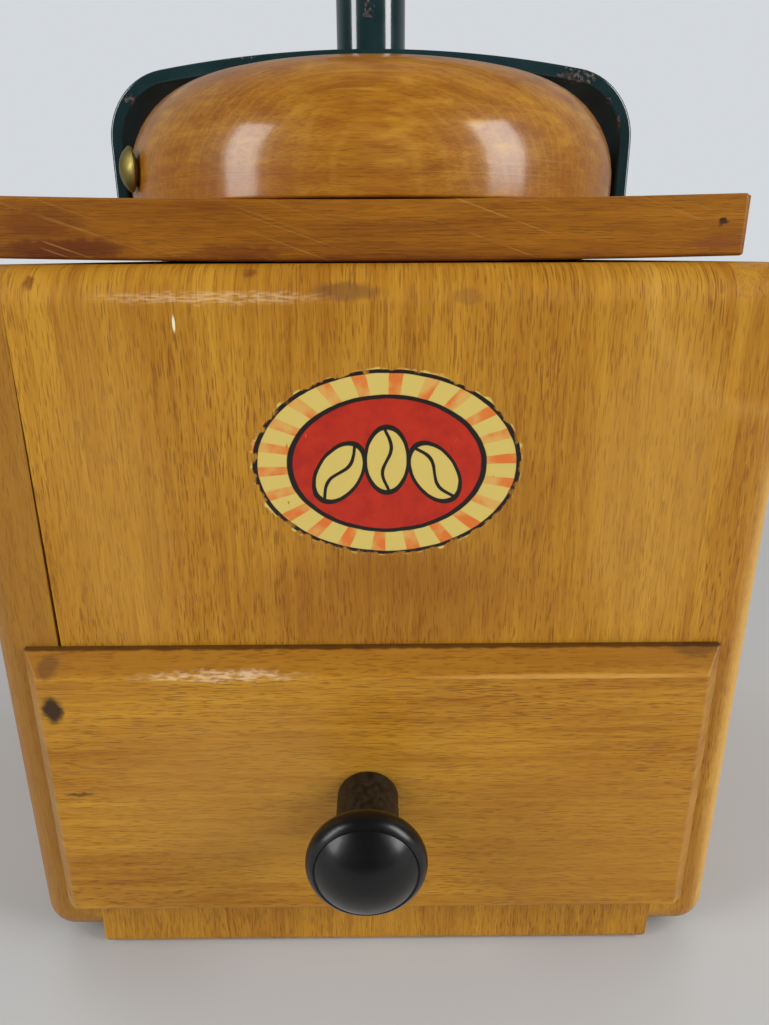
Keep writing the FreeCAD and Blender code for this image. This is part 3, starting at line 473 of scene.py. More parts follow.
def drawer_paint(place):
    """Varnished panel with the grain across, painted highlights on its bevel, a painted shadow along its
    top edge, and bare wood behind it.
    """
    shade, relief = beech(place, X, "amber", 21.0, 0.6, Y)
    # Painted highlights: a glint on the bevel's arris and a pale line along its lower edge.
    shade = painted_glint(place, marked(place, shade, DRAWER_STAINS_AND_SHADING), *DRAWER_GLINT, 0.48)
    shade = (place.spot(*DRAWER_EDGE_HIGHLIGHT) * 0.35).mix(shade, srgb(222, 176, 92))
    # Painted shadow in the gap along the top of the panel.
    gap_shadow = (place.axis(Z) + place.noise(3.0, 2.0, 6.0) * 0.5).mask(66.2, 66.5)
    shade = (gap_shadow * 0.8).mix(shade, srgb(52, 24, 6))
    bare, _ = beech(place, X, "bare", 22.0, 0.3)
    behind = place.axis(Y).mask(-65.3, -65.1)
    dull = place.noise(16.0, 2.0, 4.0) * 0.2 + 0.36
    return varnished(behind.mix(shade, bare), relief, dull + behind * 0.2, 0.2 - behind * 0.2, 0.14)


PLATE_MARKS = [
    ((52.8, -57, 132.6), (0.9, 4, 0.7), srgb(40, 24, 12), 0.9),
    ((52.5, -57, 129.6), (5.5, 4, 1.3), srgb(122, 62, 30), 0.6),
    ((58.0, -57, 132.0), (1.0, 4, 4.5), srgb(206, 168, 108), 0.7),
    ((-46.0, -57, 129.2), (13.0, 4, 2.0), srgb(84, 32, 12), 0.75),
    ((-20.0, -57, 128.6), (9.0, 4, 1.4), srgb(98, 42, 10), 0.6),
    ((-49.0, -57, 133.0), (9.0, 4, 2.4), srgb(104, 50, 8), 0.6),
]


def plate_paint(place):
    """Dark worn plate: grain across, pale slanting scratches, and darker towards its lower edge."""
    shade, relief = beech(place, X, "plate", 31.0, 0.3, fleck="stain")
    shade = marked(place, shade, PLATE_MARKS)
    slant = place.turned(y=-19.0)
    scratches = slant.noise((60.0, 60.0, 0.34), 0.0, 5.0).mask(0.64, 0.76)
    scratches = scratches * place.noise(9.0, 1.0, 6.0).mask(0.4, 0.6)
    shade = (scratches * 0.4).mix(shade, srgb(190, 143, 66))
    # Darker towards the plate's lower edge.
    lower_darkening = (place.axis(Z) + place.noise(5.0, 3.0, 7.0) * 1.6).mask(129.4, 128.2)
    shade = (lower_darkening * 0.6).mix(shade, srgb(86, 36, 12))
    return varnished(shade, relief - scratches * 0.6, scratches * 0.2 + 0.4, 0.15, 0.2)


LAYER = 1.15  # thickness of the dome's growth layers


def dome_paint(place):
    """Glossy turned dome: growth layers across the mill, fine turning marks and a warm foot."""
    tint = finishes()
    shade, relief = beech(place, X, "dome", 41.0, 0.35)
    layers = place.axis(Y) + place.noise(22.0, 2.0, 42.0) * 5.0
    figure = (layers * (tau / LAYER)).sine().mask(0.35, 1.0)
    shade = (figure * 0.12).mix(shade, srgb(203, 150, 62))
    mottle = place.noise((8.0, 8.0, 2.4), 5.0, 45.0)
    shade = (mottle.mask(0.5, 0.7) * 0.55).mix(shade, srgb(130, 68, 2))
    shade = (mottle.mask(0.48, 0.3) * 0.4).mix(shade, srgb(200, 148, 42))
    radius = place.vector("MULTIPLY", (1.0, 1.0, 0.0)).reach()
    turning = place.joined(place.axis(X) / 45.0, place.axis(Y) / 45.0, (place.axis(Z) - radius) / 0.3)
    lines = turning.noise(1.0, 1.0, 43.0)
    shade = (lines.mask(0.66, 0.76) * 0.3).mix(shade, srgb(216, 168, 86))
    shade = (lines.mask(0.36, 0.26) * 0.25).mix(shade, tint.stain)
    foot = place.axis(Z).mask(147.0, 137.0) * place.noise(20.0, 2.0, 44.0).mask(0.3, 0.7)
    shade = (foot * 0.4).mix(shade, srgb(168, 96, 14))
    return varnished(shade, relief * 0.5 + lines * 1.3, lines * 0.12 + 0.36, 0.6, 0.14)


def grip_paint(place):
    tint = finishes()
    shade, relief = beech(place, Z, "dome", 51.0, 0.4)
    worn = place.noise(9.0, 3.0, 52.0).mask(0.5, 0.75)
    shade = (worn * 0.3).mix(shade, tint.stain)
    return varnished(shade, relief, worn * 0.15 + 0.28, 0.7, 0.15)


def bare_paint(place, axis, seed):
    """Unvarnished beech, with coffee dust in its low places."""
    tint = finishes()
    shade, relief = beech(place, axis, "bare", seed, 0.4)
    dust = place.noise(12.0, 4.0, seed + 4.0).mask(0.5, 0.8)
    shade = (dust * 0.45).mix(shade, tint.stain)
    return {"Base Color": shade, "Roughness": dust * 0.1 + 0.6, "Normal": relief.bump(0.05)}


# Transfer

EMBLEM_X, EMBLEM_Z = 2.4, 97.4
EMBLEM_FILM = 0.05
FIELD_SHARE, RIM_SHARE = 0.7, 0.95
RAYS = 22.0
BEAN_RADII = 3.3, 5.2
BEANS = ((-7.4, -1.2, -34.0), (0.0, 0.8, 0.0), (7.4, -1.2, 34.0))  # right, up and lean


def emblem_paint(place, width, height):
    """Cream band with orange rays, three beans on red, black outlines, and wood where it is worn off."""
    tint = finishes()
    wood, relief = case_wood(place, 10.0, FRONT_STAINS_AND_SHADING, Y)
    drawn = place.warped(2.5, 0.25)
    x, z = drawn.axis(X) - EMBLEM_X, drawn.axis(Z) - EMBLEM_Z

    def oval(across, up, half_width, half_height, scale):
        """Below 0 inside an oval, in millimetres near the edge that scale fits."""
        return (((across / half_width) ** 2 + (up / half_height) ** 2) ** 0.5 - 1.0) * scale

    def ring(share):
        return oval(x, z, share * width / 2, share * height / 2, share * height / 2)

    bearing = x.math("ARCTAN2", z * (width / height), x)
    rays = (bearing * RAYS).sine().mask(0.25, 0.4)
    patchy = place.noise(5.0, 3.0, 17.0).mask(0.4, 0.6)
    band = (rays * (patchy * 0.6 + 0.35)).mix(tint.emblem_cream, tint.emblem_orange)
    red = place.noise(2.0, 3.0, 18.0).mask(0.3, 0.8).mix(tint.emblem_red, srgb(158, 28, 16))
    field = ring(FIELD_SHARE)
    ink = field.mask(0.08, -0.08).mix(band, red)
    lines = abs(field).mask(0.38, 0.26) | abs(ring(RIM_SHARE)).mask(0.34, 0.24)
    for right, rise, lean in BEANS:
        level, tilt = cos(radians(lean)), sin(radians(lean))
        across = (x - right) * level + (z - rise) * tilt
        up = (z - rise) * level - (x - right) * tilt
        bean = oval(across, up, *BEAN_RADII, BEAN_RADII[0])
        ink = bean.mask(0.1, -0.1).mix(ink, tint.emblem_cream)
        crease = abs(across - (up * 0.75).sine() * 0.7).mask(0.34, 0.22) * bean.mask(0.0, -0.1)
        lines = lines | abs(bean).mask(0.32, 0.22) | crease
    ink = lines.mix(ink, srgb(26, 19, 14))
    fray = place.noise(1.7, 4.0, 19.0)
    rubs = place.noise((0.7, 3.0, 2.2), 3.0, 20.0)
    worn = (ring(1.0) + fray * 3.0).mask(0.75, 1.15) | rubs.mask(0.72, 0.76)
    return varnished(worn.mix(ink, wood), relief * worn, 0.36 + worn * 0.06, 0.3, 0.22)


# Paint and metals

BOW_MIDDLE = (0.0, 0.0, 135.0)  # faces turned to it are the bow's dull inner side

CHIPS = [
    ((41.0, -8.0, 161.8), (5.5, 3.0, 2.4)),
    ((47.5, -8.0, 157.0), (1.2, 2.5, 1.4)),
    ((50.4, -8.0, 153.0), (1.1, 2.5, 2.4)),
    ((-30.4, -8.0, 165.4), (9.0, 2.0, 0.9)),
    ((-48.3, -8.0, 158.0), (1.4, 2.5, 1.8)),
    ((-0.3, -7.0, 174.0), (1.7, 2.5, 2.6)),
    ((34.0, 8.0, 164.0), (6.0, 2.5, 1.6)),
    ((-44.0, 8.0, 160.0), (4.0, 2.5, 2.2)),
    ((60.0, 5.0, 212.0), (7.0, 2.0, 3.0)),
    ((92.0, -5.0, 224.0), (5.0, 2.0, 2.0)),
]


def enamel_paint(place):
    """Dark green enamel, chipped to rusty iron in places and dull on its inner side."""
    tint = finishes()
    worn = place.noise(11.0, 3.0, 61.0).mask(0.4, 0.75)
    shade = worn.mix(tint.enamel, tint.enamel_worn)
    places = place.warped(2.0, 1.5)
    spots = places.spot(*CHIPS[0])
    for chip in CHIPS[1:]:
        spots = spots | places.spot(*chip)
    ragged = place.noise(0.8, 4.0, 62.0)
    chipped = (ragged + spots * 0.14).mask(0.62, 0.68) * spots.mask(0.05, 0.3)
    specks = place.noise(0.8, 2.0, 63.0).mask(0.74, 0.77)
    bare = chipped | specks
    rust = place.noise(0.8, 3.0, 64.0).mask(0.4, 0.75).mix(tint.chip, srgb(116, 98, 92))
    facing = place.node("TexCoord", {}, {}, "Normal")
    inner = facing.vector("DOT_PRODUCT", place.vector("SUBTRACT", BOW_MIDDLE), 1).mask(-1.0, -5.0)
    dull = bare | inner
    return {
        "Base Color": bare.mix(shade, rust),
        "Roughness": dull * 0.4 + worn * 0.1 + 0.2,
        "Normal": (place.noise(2.2, 2.0, 65.0) * 0.4 - bare).bump(0.02),
        "Specular IOR Level": 0.3,
        "Coat Weight": 1.0 - dull,
        "Coat Roughness": 0.06,
    }


def knob_paint(place):
    """Black lacquer with brown dust on the stem."""
    tint = finishes()
    stem = place.axis(Y).mask(-82.6, -81.4)
    dust = place.noise(1.1, 4.0, 71.0).mask(0.34, 0.66) * stem
    film = place.noise(4.0, 3.0, 72.0).mask(0.45, 0.8)
    shade = (dust * 0.75 + film * 0.05).mix(tint.black, tint.dust)
    return {
        "Base Color": shade,
        "Roughness": dust * 0.35 + film * 0.1 + 0.3,
        "Normal": place.noise(1.6, 2.0, 73.0).bump(0.01),
        "Specular IOR Level": 0.3,
        "Coat Weight": 0.15 - stem * 0.15,
        "Coat Roughness": 0.16,
    }


def metallic(shade, roughness, normal, share=1.0):
    """Shader values of bare metal, or of oiled iron that is metallic in part."""
    return {"Base Color": shade, "Metallic": share, "Roughness": roughness, "Normal": normal}


def brass_paint(place):
    tint = finishes()
    dull = place.noise(2.6, 4.0, 81.0).mask(0.35, 0.7)
    scratches = place.noise((0.12, 3.0, 0.12), 1.0, 82.0)
    shade = (dull * 0.5 + 0.4).mix(tint.brass, tint.tarnish)
    return metallic(shade, dull * 0.16 + scratches * 0.12 + 0.36, scratches.bump(0.004))


def metal_paint(place, shade, stain, roughness, mottle):
    """Bare metal with a mottled, slightly stained skin."""
    cloud = place.noise(mottle, 4.0, 91.0).mask(0.35, 0.75)
    hair = place.noise((0.15, 0.15, 4.0), 1.0, 92.0)
    shade = (cloud * 0.5).mix(shade, stain)
    return metallic(shade, cloud * 0.2 + hair * 0.15 + roughness, hair.bump(0.005))


def tin_paint(place):
    """Tinned sheet: large pale crystals and a few grey rubs."""
    tint = finishes()
    crystals = place.cells(7.0, 1).axis(X)
    rubs = place.noise(6.0, 4.0, 95.0).mask(0.5, 0.75)
    shade = (crystals * 0.3).mix(tint.tin, srgb(150, 151, 150))
    shade = (rubs * 0.5).mix(shade, srgb(112, 108, 100))
    return metallic(shade, crystals * 0.12 + rubs * 0.2 + 0.25, rubs.bump(0.01))


def iron_paint(place):
    tint = finishes()
    grain = place.noise(0.9, 4.0, 97.0)
    oil = place.noise(9.0, 3.0, 98.0).mask(0.4, 0.7)
    shade = (oil * 0.6).mix(tint.iron, srgb(44, 40, 36))
    return metallic(shade, 0.66 - oil * 0.2, grain.bump(0.12), 0.4)


def steel():
    return finish("bright_steel", metal_paint, finishes().steel, srgb(120, 112, 102), 0.22, 4.0)


def brass():
    return finish("tarnished_brass", brass_paint)


def enamel():
    return finish("chipped_enamel", enamel_paint)


# Shapes

MERGE_DISTANCE = 1e-6  # metres


def verts_of(parts):
    return [part for part in parts if isinstance(part, bmesh.types.BMVert)]


class Profile:
    """A line drawn in the XZ plane, in millimetres, that is then turned or drawn out to a piece."""

    def __init__(self, x, z):
        self.shape = bmesh.new()
        self.first = self.shape.verts.new((x * MM, 0.0, z * MM))
        self.last = self.first

    def line(self, *points):
        for x, z in points:
            step = Vector((x * MM, 0.0, z * MM)) - self.last.co
            self.last = bmesh.ops.extrude_vert_indiv(self.shape, verts=[self.last])["verts"][0]
            bmesh.ops.translate(self.shape, vec=step, verts=[self.last])
        return self

    def arc(self, through, end, steps=8):
        """A circular arc from the last point through one point to another."""
        start = Vector((self.last.co.x, self.last.co.z)) / MM
        a, b = Vector(through) - start, Vector(end) - start
        cross = 2 * (a.x * b.y - a.y * b.x)
        to_a, to_b = a.length_squared, b.length_squared
        middle = start + Vector((b.y * to_a - a.y * to_b, a.x * to_b - b.x * to_a)) / cross
        stops = (start, Vector(through), Vector(end))
        bearings = [atan2(stop.y - middle.y, stop.x - middle.x) for stop in stops]
        to_through, to_end = ((bearing - bearings[0]) % tau for bearing in bearings[1:])
        sweep = to_end if to_through < to_end else to_end - tau
        centre = (middle.x * MM, 0.0, middle.y * MM)
        made = bmesh.ops.spin(
            self.shape, geom=[self.last], cent=centre, axis=(0.0, 1.0, 0.0), angle=-sweep, steps=steps
        )
        self.last = verts_of(made["geom_last"])[0]
        return self

    def close(self):
        bmesh.ops.contextual_create(self.shape, geom=[self.last, self.first])
        return self

    def turned(self, steps=96):
        """The line turned about the upright axis."""
        line = self.shape.verts[:] + self.shape.edges[:]
        bmesh.ops.spin(
            self.shape, geom=line, axis=(0.0, 0.0, 1.0), angle=tau, steps=steps, use_merge=True
        )
        bmesh.ops.remove_doubles(self.shape, verts=self.shape.verts, dist=MERGE_DISTANCE)
        bmesh.ops.recalc_face_normals(self.shape, faces=self.shape.faces)
        return self.shape

    def strap(self, width, thickness):
        """The line drawn out from front to back, with a wall to its inner side."""
        bmesh.ops.translate(self.shape, vec=(0.0, -width / 2, 0.0), verts=self.shape.verts)
        made = bmesh.ops.extrude_edge_only(self.shape, edges=self.shape.edges)["geom"]
        bmesh.ops.translate(self.shape, vec=(0.0, width, 0.0), verts=verts_of(made))
        bmesh.ops.recalc_face_normals(self.shape, faces=self.shape.faces)
        bmesh.ops.solidify(self.shape, geom=self.shape.faces, thickness=thickness)
        bmesh.ops.recalc_face_normals(self.shape, faces=self.shape.faces)
        return self.shape


def bun(radius, height, shoulder, crown, base):
    """A low bun's section: top of its side, middle of its shoulder, its join, and the crown's points."""
    middle = base + height - crown
    reach = radius - shoulder
    side_top = middle + sqrt((crown - shoulder) ** 2 - reach**2)
    join = atan2(side_top - middle, reach)
    round_over = (reach + shoulder * cos(join / 2), side_top + shoulder * sin(join / 2))

    def crown_at(x):
        return x, middle + sqrt(crown**2 - x**2)

    return (radius, side_top), round_over, crown_at(crown * cos(join)), crown_at


def boxed(low, high):
    shape = bmesh.new()
    bmesh.ops.create_cube(shape, size=1.0)
    low, high = Vector(low), Vector(high)
    bmesh.ops.scale(shape, vec=high - low, verts=shape.verts)
    bmesh.ops.translate(shape, vec=(low + high) / 2, verts=shape.verts)
    return shape


def rod(radius, low, high, top_radius=None, at=(0.0, 0.0)):
    """An upright round bar or cone, in millimetres."""
    shape = bmesh.new()
    top = (radius if top_radius is None else top_radius) * MM
    depth = (high - low) * MM
    bmesh.ops.create_cone(
        shape, cap_ends=True, segments=64, radius1=radius * MM, radius2=top, depth=depth
    )
    middle = Vector((at[0], at[1], (low + high) / 2)) * MM
    bmesh.ops.translate(shape, vec=middle, verts=shape.verts)
    return shape


def corners(node):
    """Lowest and highest x, y and z of a CAD node, in millimetres."""
    return [[value / MM for value in corner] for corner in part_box(node)]


def merged_copy(node):
    """A CAD node's shape with its loose triangles joined up into whole faces."""
    shape = bmesh.new()
    shape.from_mesh(NODES[node].data)
    bmesh.ops.remove_doubles(shape, verts=shape.verts, dist=MERGE_DISTANCE)
    bmesh.ops.dissolve_limit(shape, angle_limit=radians(0.2), verts=shape.verts, edges=shape.edges)
    return shape


def arrises(shape, over=50.0, where=lambda middle: True):
    """The sharp edges whose middle, in millimetres, passes the test."""
    sharp = [
        edge
        for edge in shape.edges
        if len(edge.link_faces) == 2 and edge.calc_face_angle() > radians(over)
    ]
    return [edge for edge in sharp if where((edge.verts[0].co + edge.verts[1].co) / 2 / MM)]


def ease(shape, edges, width, segments=2):
    """The shape with these edges rounded over."""
    bmesh.ops.bevel(
        shape, geom=edges, offset=width, offset_type="OFFSET", segments=segments, profile=0.5,
        affect="EDGES", material=-1, clamp_overlap=False,
    )
    return shape


def mesh_of(name, shape):
    mesh = bpy.data.meshes.new(name)
    shape.to_mesh(mesh)
    shape.free()
    return mesh


def linked(name, data):
    """A new object in the scene."""
    made = bpy.data.objects.new(name, data)
    bpy.context.scene.collection.objects.link(made)
    return made


def passing_object(shape):
    return linked("passing", mesh_of("passing", shape))


def carved(shape, *cutters):
    """The shape with the cutters taken out of it."""
    blank = passing_object(shape)
    tools = [passing_object(cutter) for cutter in cutters]
    for tool in tools:
        carve = blank.modifiers.new("carve", "BOOLEAN")
        carve.operation = "DIFFERENCE"
        carve.solver = "EXACT"
        carve.object = tool
    result = bmesh.new()
    result.from_object(blank, bpy.context.evaluated_depsgraph_get())
    for passing in (blank, *tools):
        bpy.data.meshes.remove(passing.data)
    return result


def repeated(shape, places):
    """Copies of a shape at several places, as one shape."""
    first = shape.verts[:] + shape.edges[:] + shape.faces[:]
    for place in places[1:]:
        copy = bmesh.ops.duplicate(shape, geom=first)["geom"]
        bmesh.ops.translate(shape, vec=Vector(place) * MM, verts=verts_of(copy))
    bmesh.ops.translate(shape, vec=Vector(places[0]) * MM, verts=verts_of(first))
    return shape


TO_FRONT = Matrix.Rotation(radians(90.0), 4, "X")


def placed(shape, matrix):
    bmesh.ops.transform(shape, matrix=matrix, verts=shape.verts)
    return shape


SHARP_OVER = 34.0  # degrees


def add_piece(name, shape, body, material):
    """A finished piece with smooth faces and its sharp edges kept."""
    mesh = mesh_of(name, shape)
    imported_normals = mesh.attributes.get("custom_normal")
    if imported_normals:
        mesh.attributes.remove(imported_normals)
    mesh.shade_smooth()
    mesh.set_sharp_from_angle(angle=radians(SHARP_OVER))
    mesh.materials.clear()
    mesh.materials.append(material)
    piece = linked(name, mesh)
    flat = piece.modifiers.new("flat_faces", "WEIGHTED_NORMAL")
    flat.keep_sharp = True
    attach(piece, body)
    return piece


def stand_in(node, shape, material):
    """A finished piece in the place of a CAD node."""
    piece = add_piece(node + "_finished", shape, NODES[node]["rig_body"], material)
    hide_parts(node)
    return piece


def dress(material, *nodes):
    """Gives CAD nodes whose shape is right their finish."""
    for node in nodes:
        mesh = NODES[node].data
        mesh.materials.clear()
        mesh.materials.append(material)


# Operators

class MILL_OT_case(bpy.types.Operator):
    """Boards of the case, with eased joints and the open seam in front"""

    bl_idname = "mill.case"
    bl_label = "Case boards"

    def execute(self, context):
        sizes = context.scene.mill_case
        boards = {
            "left_side_board": (11.0, LEFT_PAINTED_SHADE),
            "right_side_board": (12.0, RIGHT_PAINTED_LIGHT),
            "back_board": (13.0, [], Y),
            "base_board": (14.0, []),
        }
        for node, details in boards.items():
            shape = merged_copy(node)
            ease(shape, arrises(shape, 60.0), sizes.board_ease)
            stand_in(node, shape, finish(node + "_beech", case_paint, *details))
        front = merged_copy("front_board")
        ease(front, arrises(front, 60.0), sizes.board_ease)
        # The joint left of the front board has opened at its foot.
        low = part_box("front_board")[0]
        foot = [vert for vert in front.verts if vert.co.x < 0.9 * low.x and vert.co.z < low.z + 2 * MM]
        bmesh.ops.translate(front, vec=(sizes.seam_gap, 0.0, 0.0), verts=foot)
        stand_in("front_board", front, finish("front_beech", case_paint, 10.0, FRONT_STAINS_AND_SHADING, Y))
        dress(finish("deck_beech", bare_paint, X, 15.0), "deck_board")
        return {"FINISHED"}


class MILL_OT_plate(bpy.types.Operator):
    """Top plate with worn edges"""

    bl_idname = "mill.plate"
    bl_label = "Top plate"

    def execute(self, context):
        plate = merged_copy("top_plate")
        reach = corners("top_plate")[1][X] - 1.5
        rim = arrises(plate, 60.0, lambda middle: max(abs(middle.x), abs(middle.y)) > reach)
        ease(plate, rim, context.scene.mill_case.plate_ease, 3)
        stand_in("top_plate", plate, finish("worn_plate", plate_paint))
        return {"FINISHED"}


class MILL_OT_emblem(bpy.types.Operator):
    """Oval transfer on the front: three coffee beans on a red field, worn at its edge"""

    bl_idname = "mill.emblem"
    bl_label = "Emblem"

    def execute(self, context):
        sizes = context.scene.mill_case
        shape = bmesh.new()
        bmesh.ops.create_circle(shape, cap_ends=True, segments=128, radius=0.5)
        bmesh.ops.scale(shape, vec=(sizes.emblem_width, sizes.emblem_height, 1.0), verts=shape.verts)
        film = bmesh.ops.extrude_face_region(shape, geom=shape.faces[:])["geom"]
        bmesh.ops.translate(shape, vec=(0.0, 0.0, EMBLEM_FILM * MM), verts=verts_of(film))
        bmesh.ops.recalc_face_normals(shape, faces=shape.faces)
        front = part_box("front_board")[0].y
        stand = Matrix.Translation((EMBLEM_X * MM, front, EMBLEM_Z * MM))
        placed(shape, stand @ TO_FRONT)
        material = finish("worn_transfer", emblem_paint, sizes.emblem_width / MM, sizes.emblem_height / MM)
        add_piece("oval_emblem", shape, "mill", material)
        return {"FINISHED"}


class MILL_OT_dome(bpy.types.Operator):
    """Turned dome lid with its fill window, and the brass knob that turns it"""

    bl_idname = "mill.dome"
    bl_label = "Dome lid"

    def execute(self, context):
        sizes = context.scene.mill_lid
        stand_in("dome_lid", self.dome(sizes), finish("turned_dome", dome_paint))
        stand_in("lid_knob", self.knob(sizes), brass())
        dress(brass(), "lid_knob_nut")
        return {"FINISHED"}

    def dome(self, sizes):
        (*_, base), (radius, _, crest) = corners("dome_lid")
        crown, shoulder, wall = sizes.crown / MM, sizes.shoulder / MM, sizes.wall / MM
        eye, inner_edge = sizes.eye / MM, sizes.window_inner / MM
        # The eye is cut where the crown is a little lower than its top.
        height = crest - base + crown - sqrt(crown**2 - eye**2)
        sill = base + sizes.window_sill / MM
        side, shoulder_at, join, crown_at = bun(radius, height, shoulder, crown, base)
        in_side, in_shoulder, in_join, in_crown_at = bun(
            radius - wall, height - wall, shoulder - wall, crown - wall, base
        )
        rim = 0.5
        line = Profile(radius - rim, base)
        line.arc((radius - 0.3 * rim, base + 0.3 * rim), (radius, base + rim), 3)
        line.line((radius, sill), side).arc(shoulder_at, join, 12)
        line.arc(crown_at((join[0] + inner_edge) / 2), crown_at(inner_edge), 8)
        line.arc(crown_at((inner_edge + eye) / 2), crown_at(eye + rim), 4)
        top, under = crown_at(eye)[1], in_crown_at(eye)[1]
        line.line((eye, top - rim), (eye, under + rim), in_crown_at(eye + rim))
        line.arc(in_crown_at((inner_edge + eye) / 2), in_crown_at(inner_edge), 4)
        line.arc(in_crown_at((join[0] + inner_edge) / 2), in_join, 8)
        line.arc(in_shoulder, in_side, 12).line((radius - wall, sill), (radius - wall, base + rim))
        shape = line.line((radius - wall + rim, base)).close().turned(120)
        return self.windowed(shape, sizes, sill)

    def windowed(self, shape, sizes, sill):
        """Opens the window between the outer and the inner wall, and rounds its edges."""
        first, last = sizes.window_start, sizes.window_start + sizes.window_angle

        def in_window(face):
            middle = face.calc_center_median()
            turn = atan2(middle.y, middle.x) % tau
            far = hypot(middle.x, middle.y) > sizes.window_inner
            return first < turn < last and far and middle.z > sill * MM

        opened = [face for face in shape.faces if in_window(face)]
        bmesh.ops.delete(shape, geom=opened, context="FACES")
        bare = [edge for edge in shape.edges if edge.is_boundary]
        reveal = set(bmesh.ops.bridge_loops(shape, edges=bare)["faces"])
        bmesh.ops.recalc_face_normals(shape, faces=shape.faces)
        edges = [edge for edge in shape.edges if len(reveal.intersection(edge.link_faces)) == 1]
        return ease(shape, edges, sizes.window_ease, 3)

    def knob(self, sizes):
        head = sizes.knob_radius / MM
        radius = corners("dome_lid")[1][X]
        shank, neck, tail = 2.0, 2.9, radius - 9.5
        line = Profile(0.0, tail).line((shank, tail), (shank, radius + 0.1), (neck, radius + 0.1))
        line.line((neck, radius + 0.5), (head - 0.35, radius + 0.5))
        line.arc((head, radius + 0.75), (head - 0.12, radius + 1.1), 4)
        line.arc((head - 1.5, radius + 2.2), (0.0, radius + 2.8), 10)
        turn = Matrix.Rotation(sizes.knob_angle, 4, "Z") @ Matrix.Rotation(radians(90.0), 4, "Y")
        return placed(line.turned(48), Matrix.Translation((0.0, 0.0, sizes.knob_height)) @ turn)


SLOT_HALF_WIDTH, SLOT_DEPTH = 0.45 * MM, 0.9 * MM


def slotted_screw(head_r, shank_r, length_mm, turn):
    """A countersunk screw with its face at the origin and a slot across it."""
    neck = shank_r - head_r - 0.2
    line = Profile(0.0, -length_mm).line((shank_r, -length_mm + 2.0), (shank_r, neck), (head_r, -0.2))
    shape = line.line((head_r - 0.15, 0.0), (0.0, 0.0)).turned(40)
    reach = head_r * MM + MM
    slot = boxed((-reach, -SLOT_HALF_WIDTH, -SLOT_DEPTH), (reach, SLOT_HALF_WIDTH, MM))
    return carved(shape, placed(slot, Matrix.Rotation(radians(turn), 4, "Z")))


BOW_SCREWS = (45.5, -45.5)


class MILL_OT_bow(bpy.types.Operator):
    """Steel bow over the dome with the bearing tower and its screws"""

    bl_idname = "mill.bow"
    bl_label = "Bow and tower"

    def execute(self, context):
        sizes = context.scene.mill_metal
        stand_in("bearing_bow", self.bow(sizes), enamel())
        stand_in("bearing_tower", self.tower(sizes), enamel())
        level = corners("bow_screws")[1][Z]
        places = [(x, 0.0, level) for x in BOW_SCREWS]
        screws = repeated(slotted_screw(3.4, 1.6, 14.0, 25.0), places)
        stand_in("bow_screws", screws, steel())
        return {"FINISHED"}

    def bow(self, sizes):
        (*_, base), (half, _, top) = corners("bearing_bow")
        inner, bend = 40.0, 3.0
        strap, corner, crown = sizes.strap / MM, sizes.corner / MM, sizes.bow_crown / MM
        side, shoulder, join, _ = bun(half, top - base, corner, crown, base)
        bend_middle = bend * (1 - sqrt(0.5))
        line = Profile(-inner, base).line((bend - half, base))
        line.arc((bend_middle - half, base + bend_middle), (-half, base + bend), 6)
        line.line((-side[0], side[1])).arc((-shoulder[0], shoulder[1]), (-join[0], join[1]), 14)
        line.arc((0.0, top), join, 24).arc(shoulder, side, 14)
        line.line((half, base + bend)).arc((half - bend_middle, base + bend_middle), (half - bend, base), 6)
        shape = line.line((inner, base)).strap(sizes.strap_width, sizes.strap)
        ease(shape, arrises(shape, 60.0), sizes.strap_ease, 3)
        crown_hole = rod(5.95, top - 2 * strap, top + 2.0)
        foot_top = base + strap
        sinks = [rod(1.65, base - 1.0, foot_top + 1.0, 4.45, (x, 0.0)) for x in BOW_SCREWS]
        return carved(shape, crown_hole, *sinks)

    def tower(self, sizes):
        (*_, base), (*_, top) = corners("bearing_tower")
        radius, bore, spigot, seat = sizes.tower_radius / MM, 4.04, 5.9, base + 2.45
        line = Profile(bore, base).line((spigot, base), (spigot, seat), (radius - 0.2, seat))
        line.line((radius, seat + 0.3), (radius, top - 0.9))
        line.arc((radius - 0.26, top - 0.26), (radius - 0.9, top), 5)
        return line.line((bore + 0.5, top), (bore, top - 0.5)).close().turned(72)


CRANK_REACH = 120.0
TO_GRIP = Matrix.Translation((CRANK_REACH * MM, 0.0, 0.0))
GRIP_BORE = 2.85


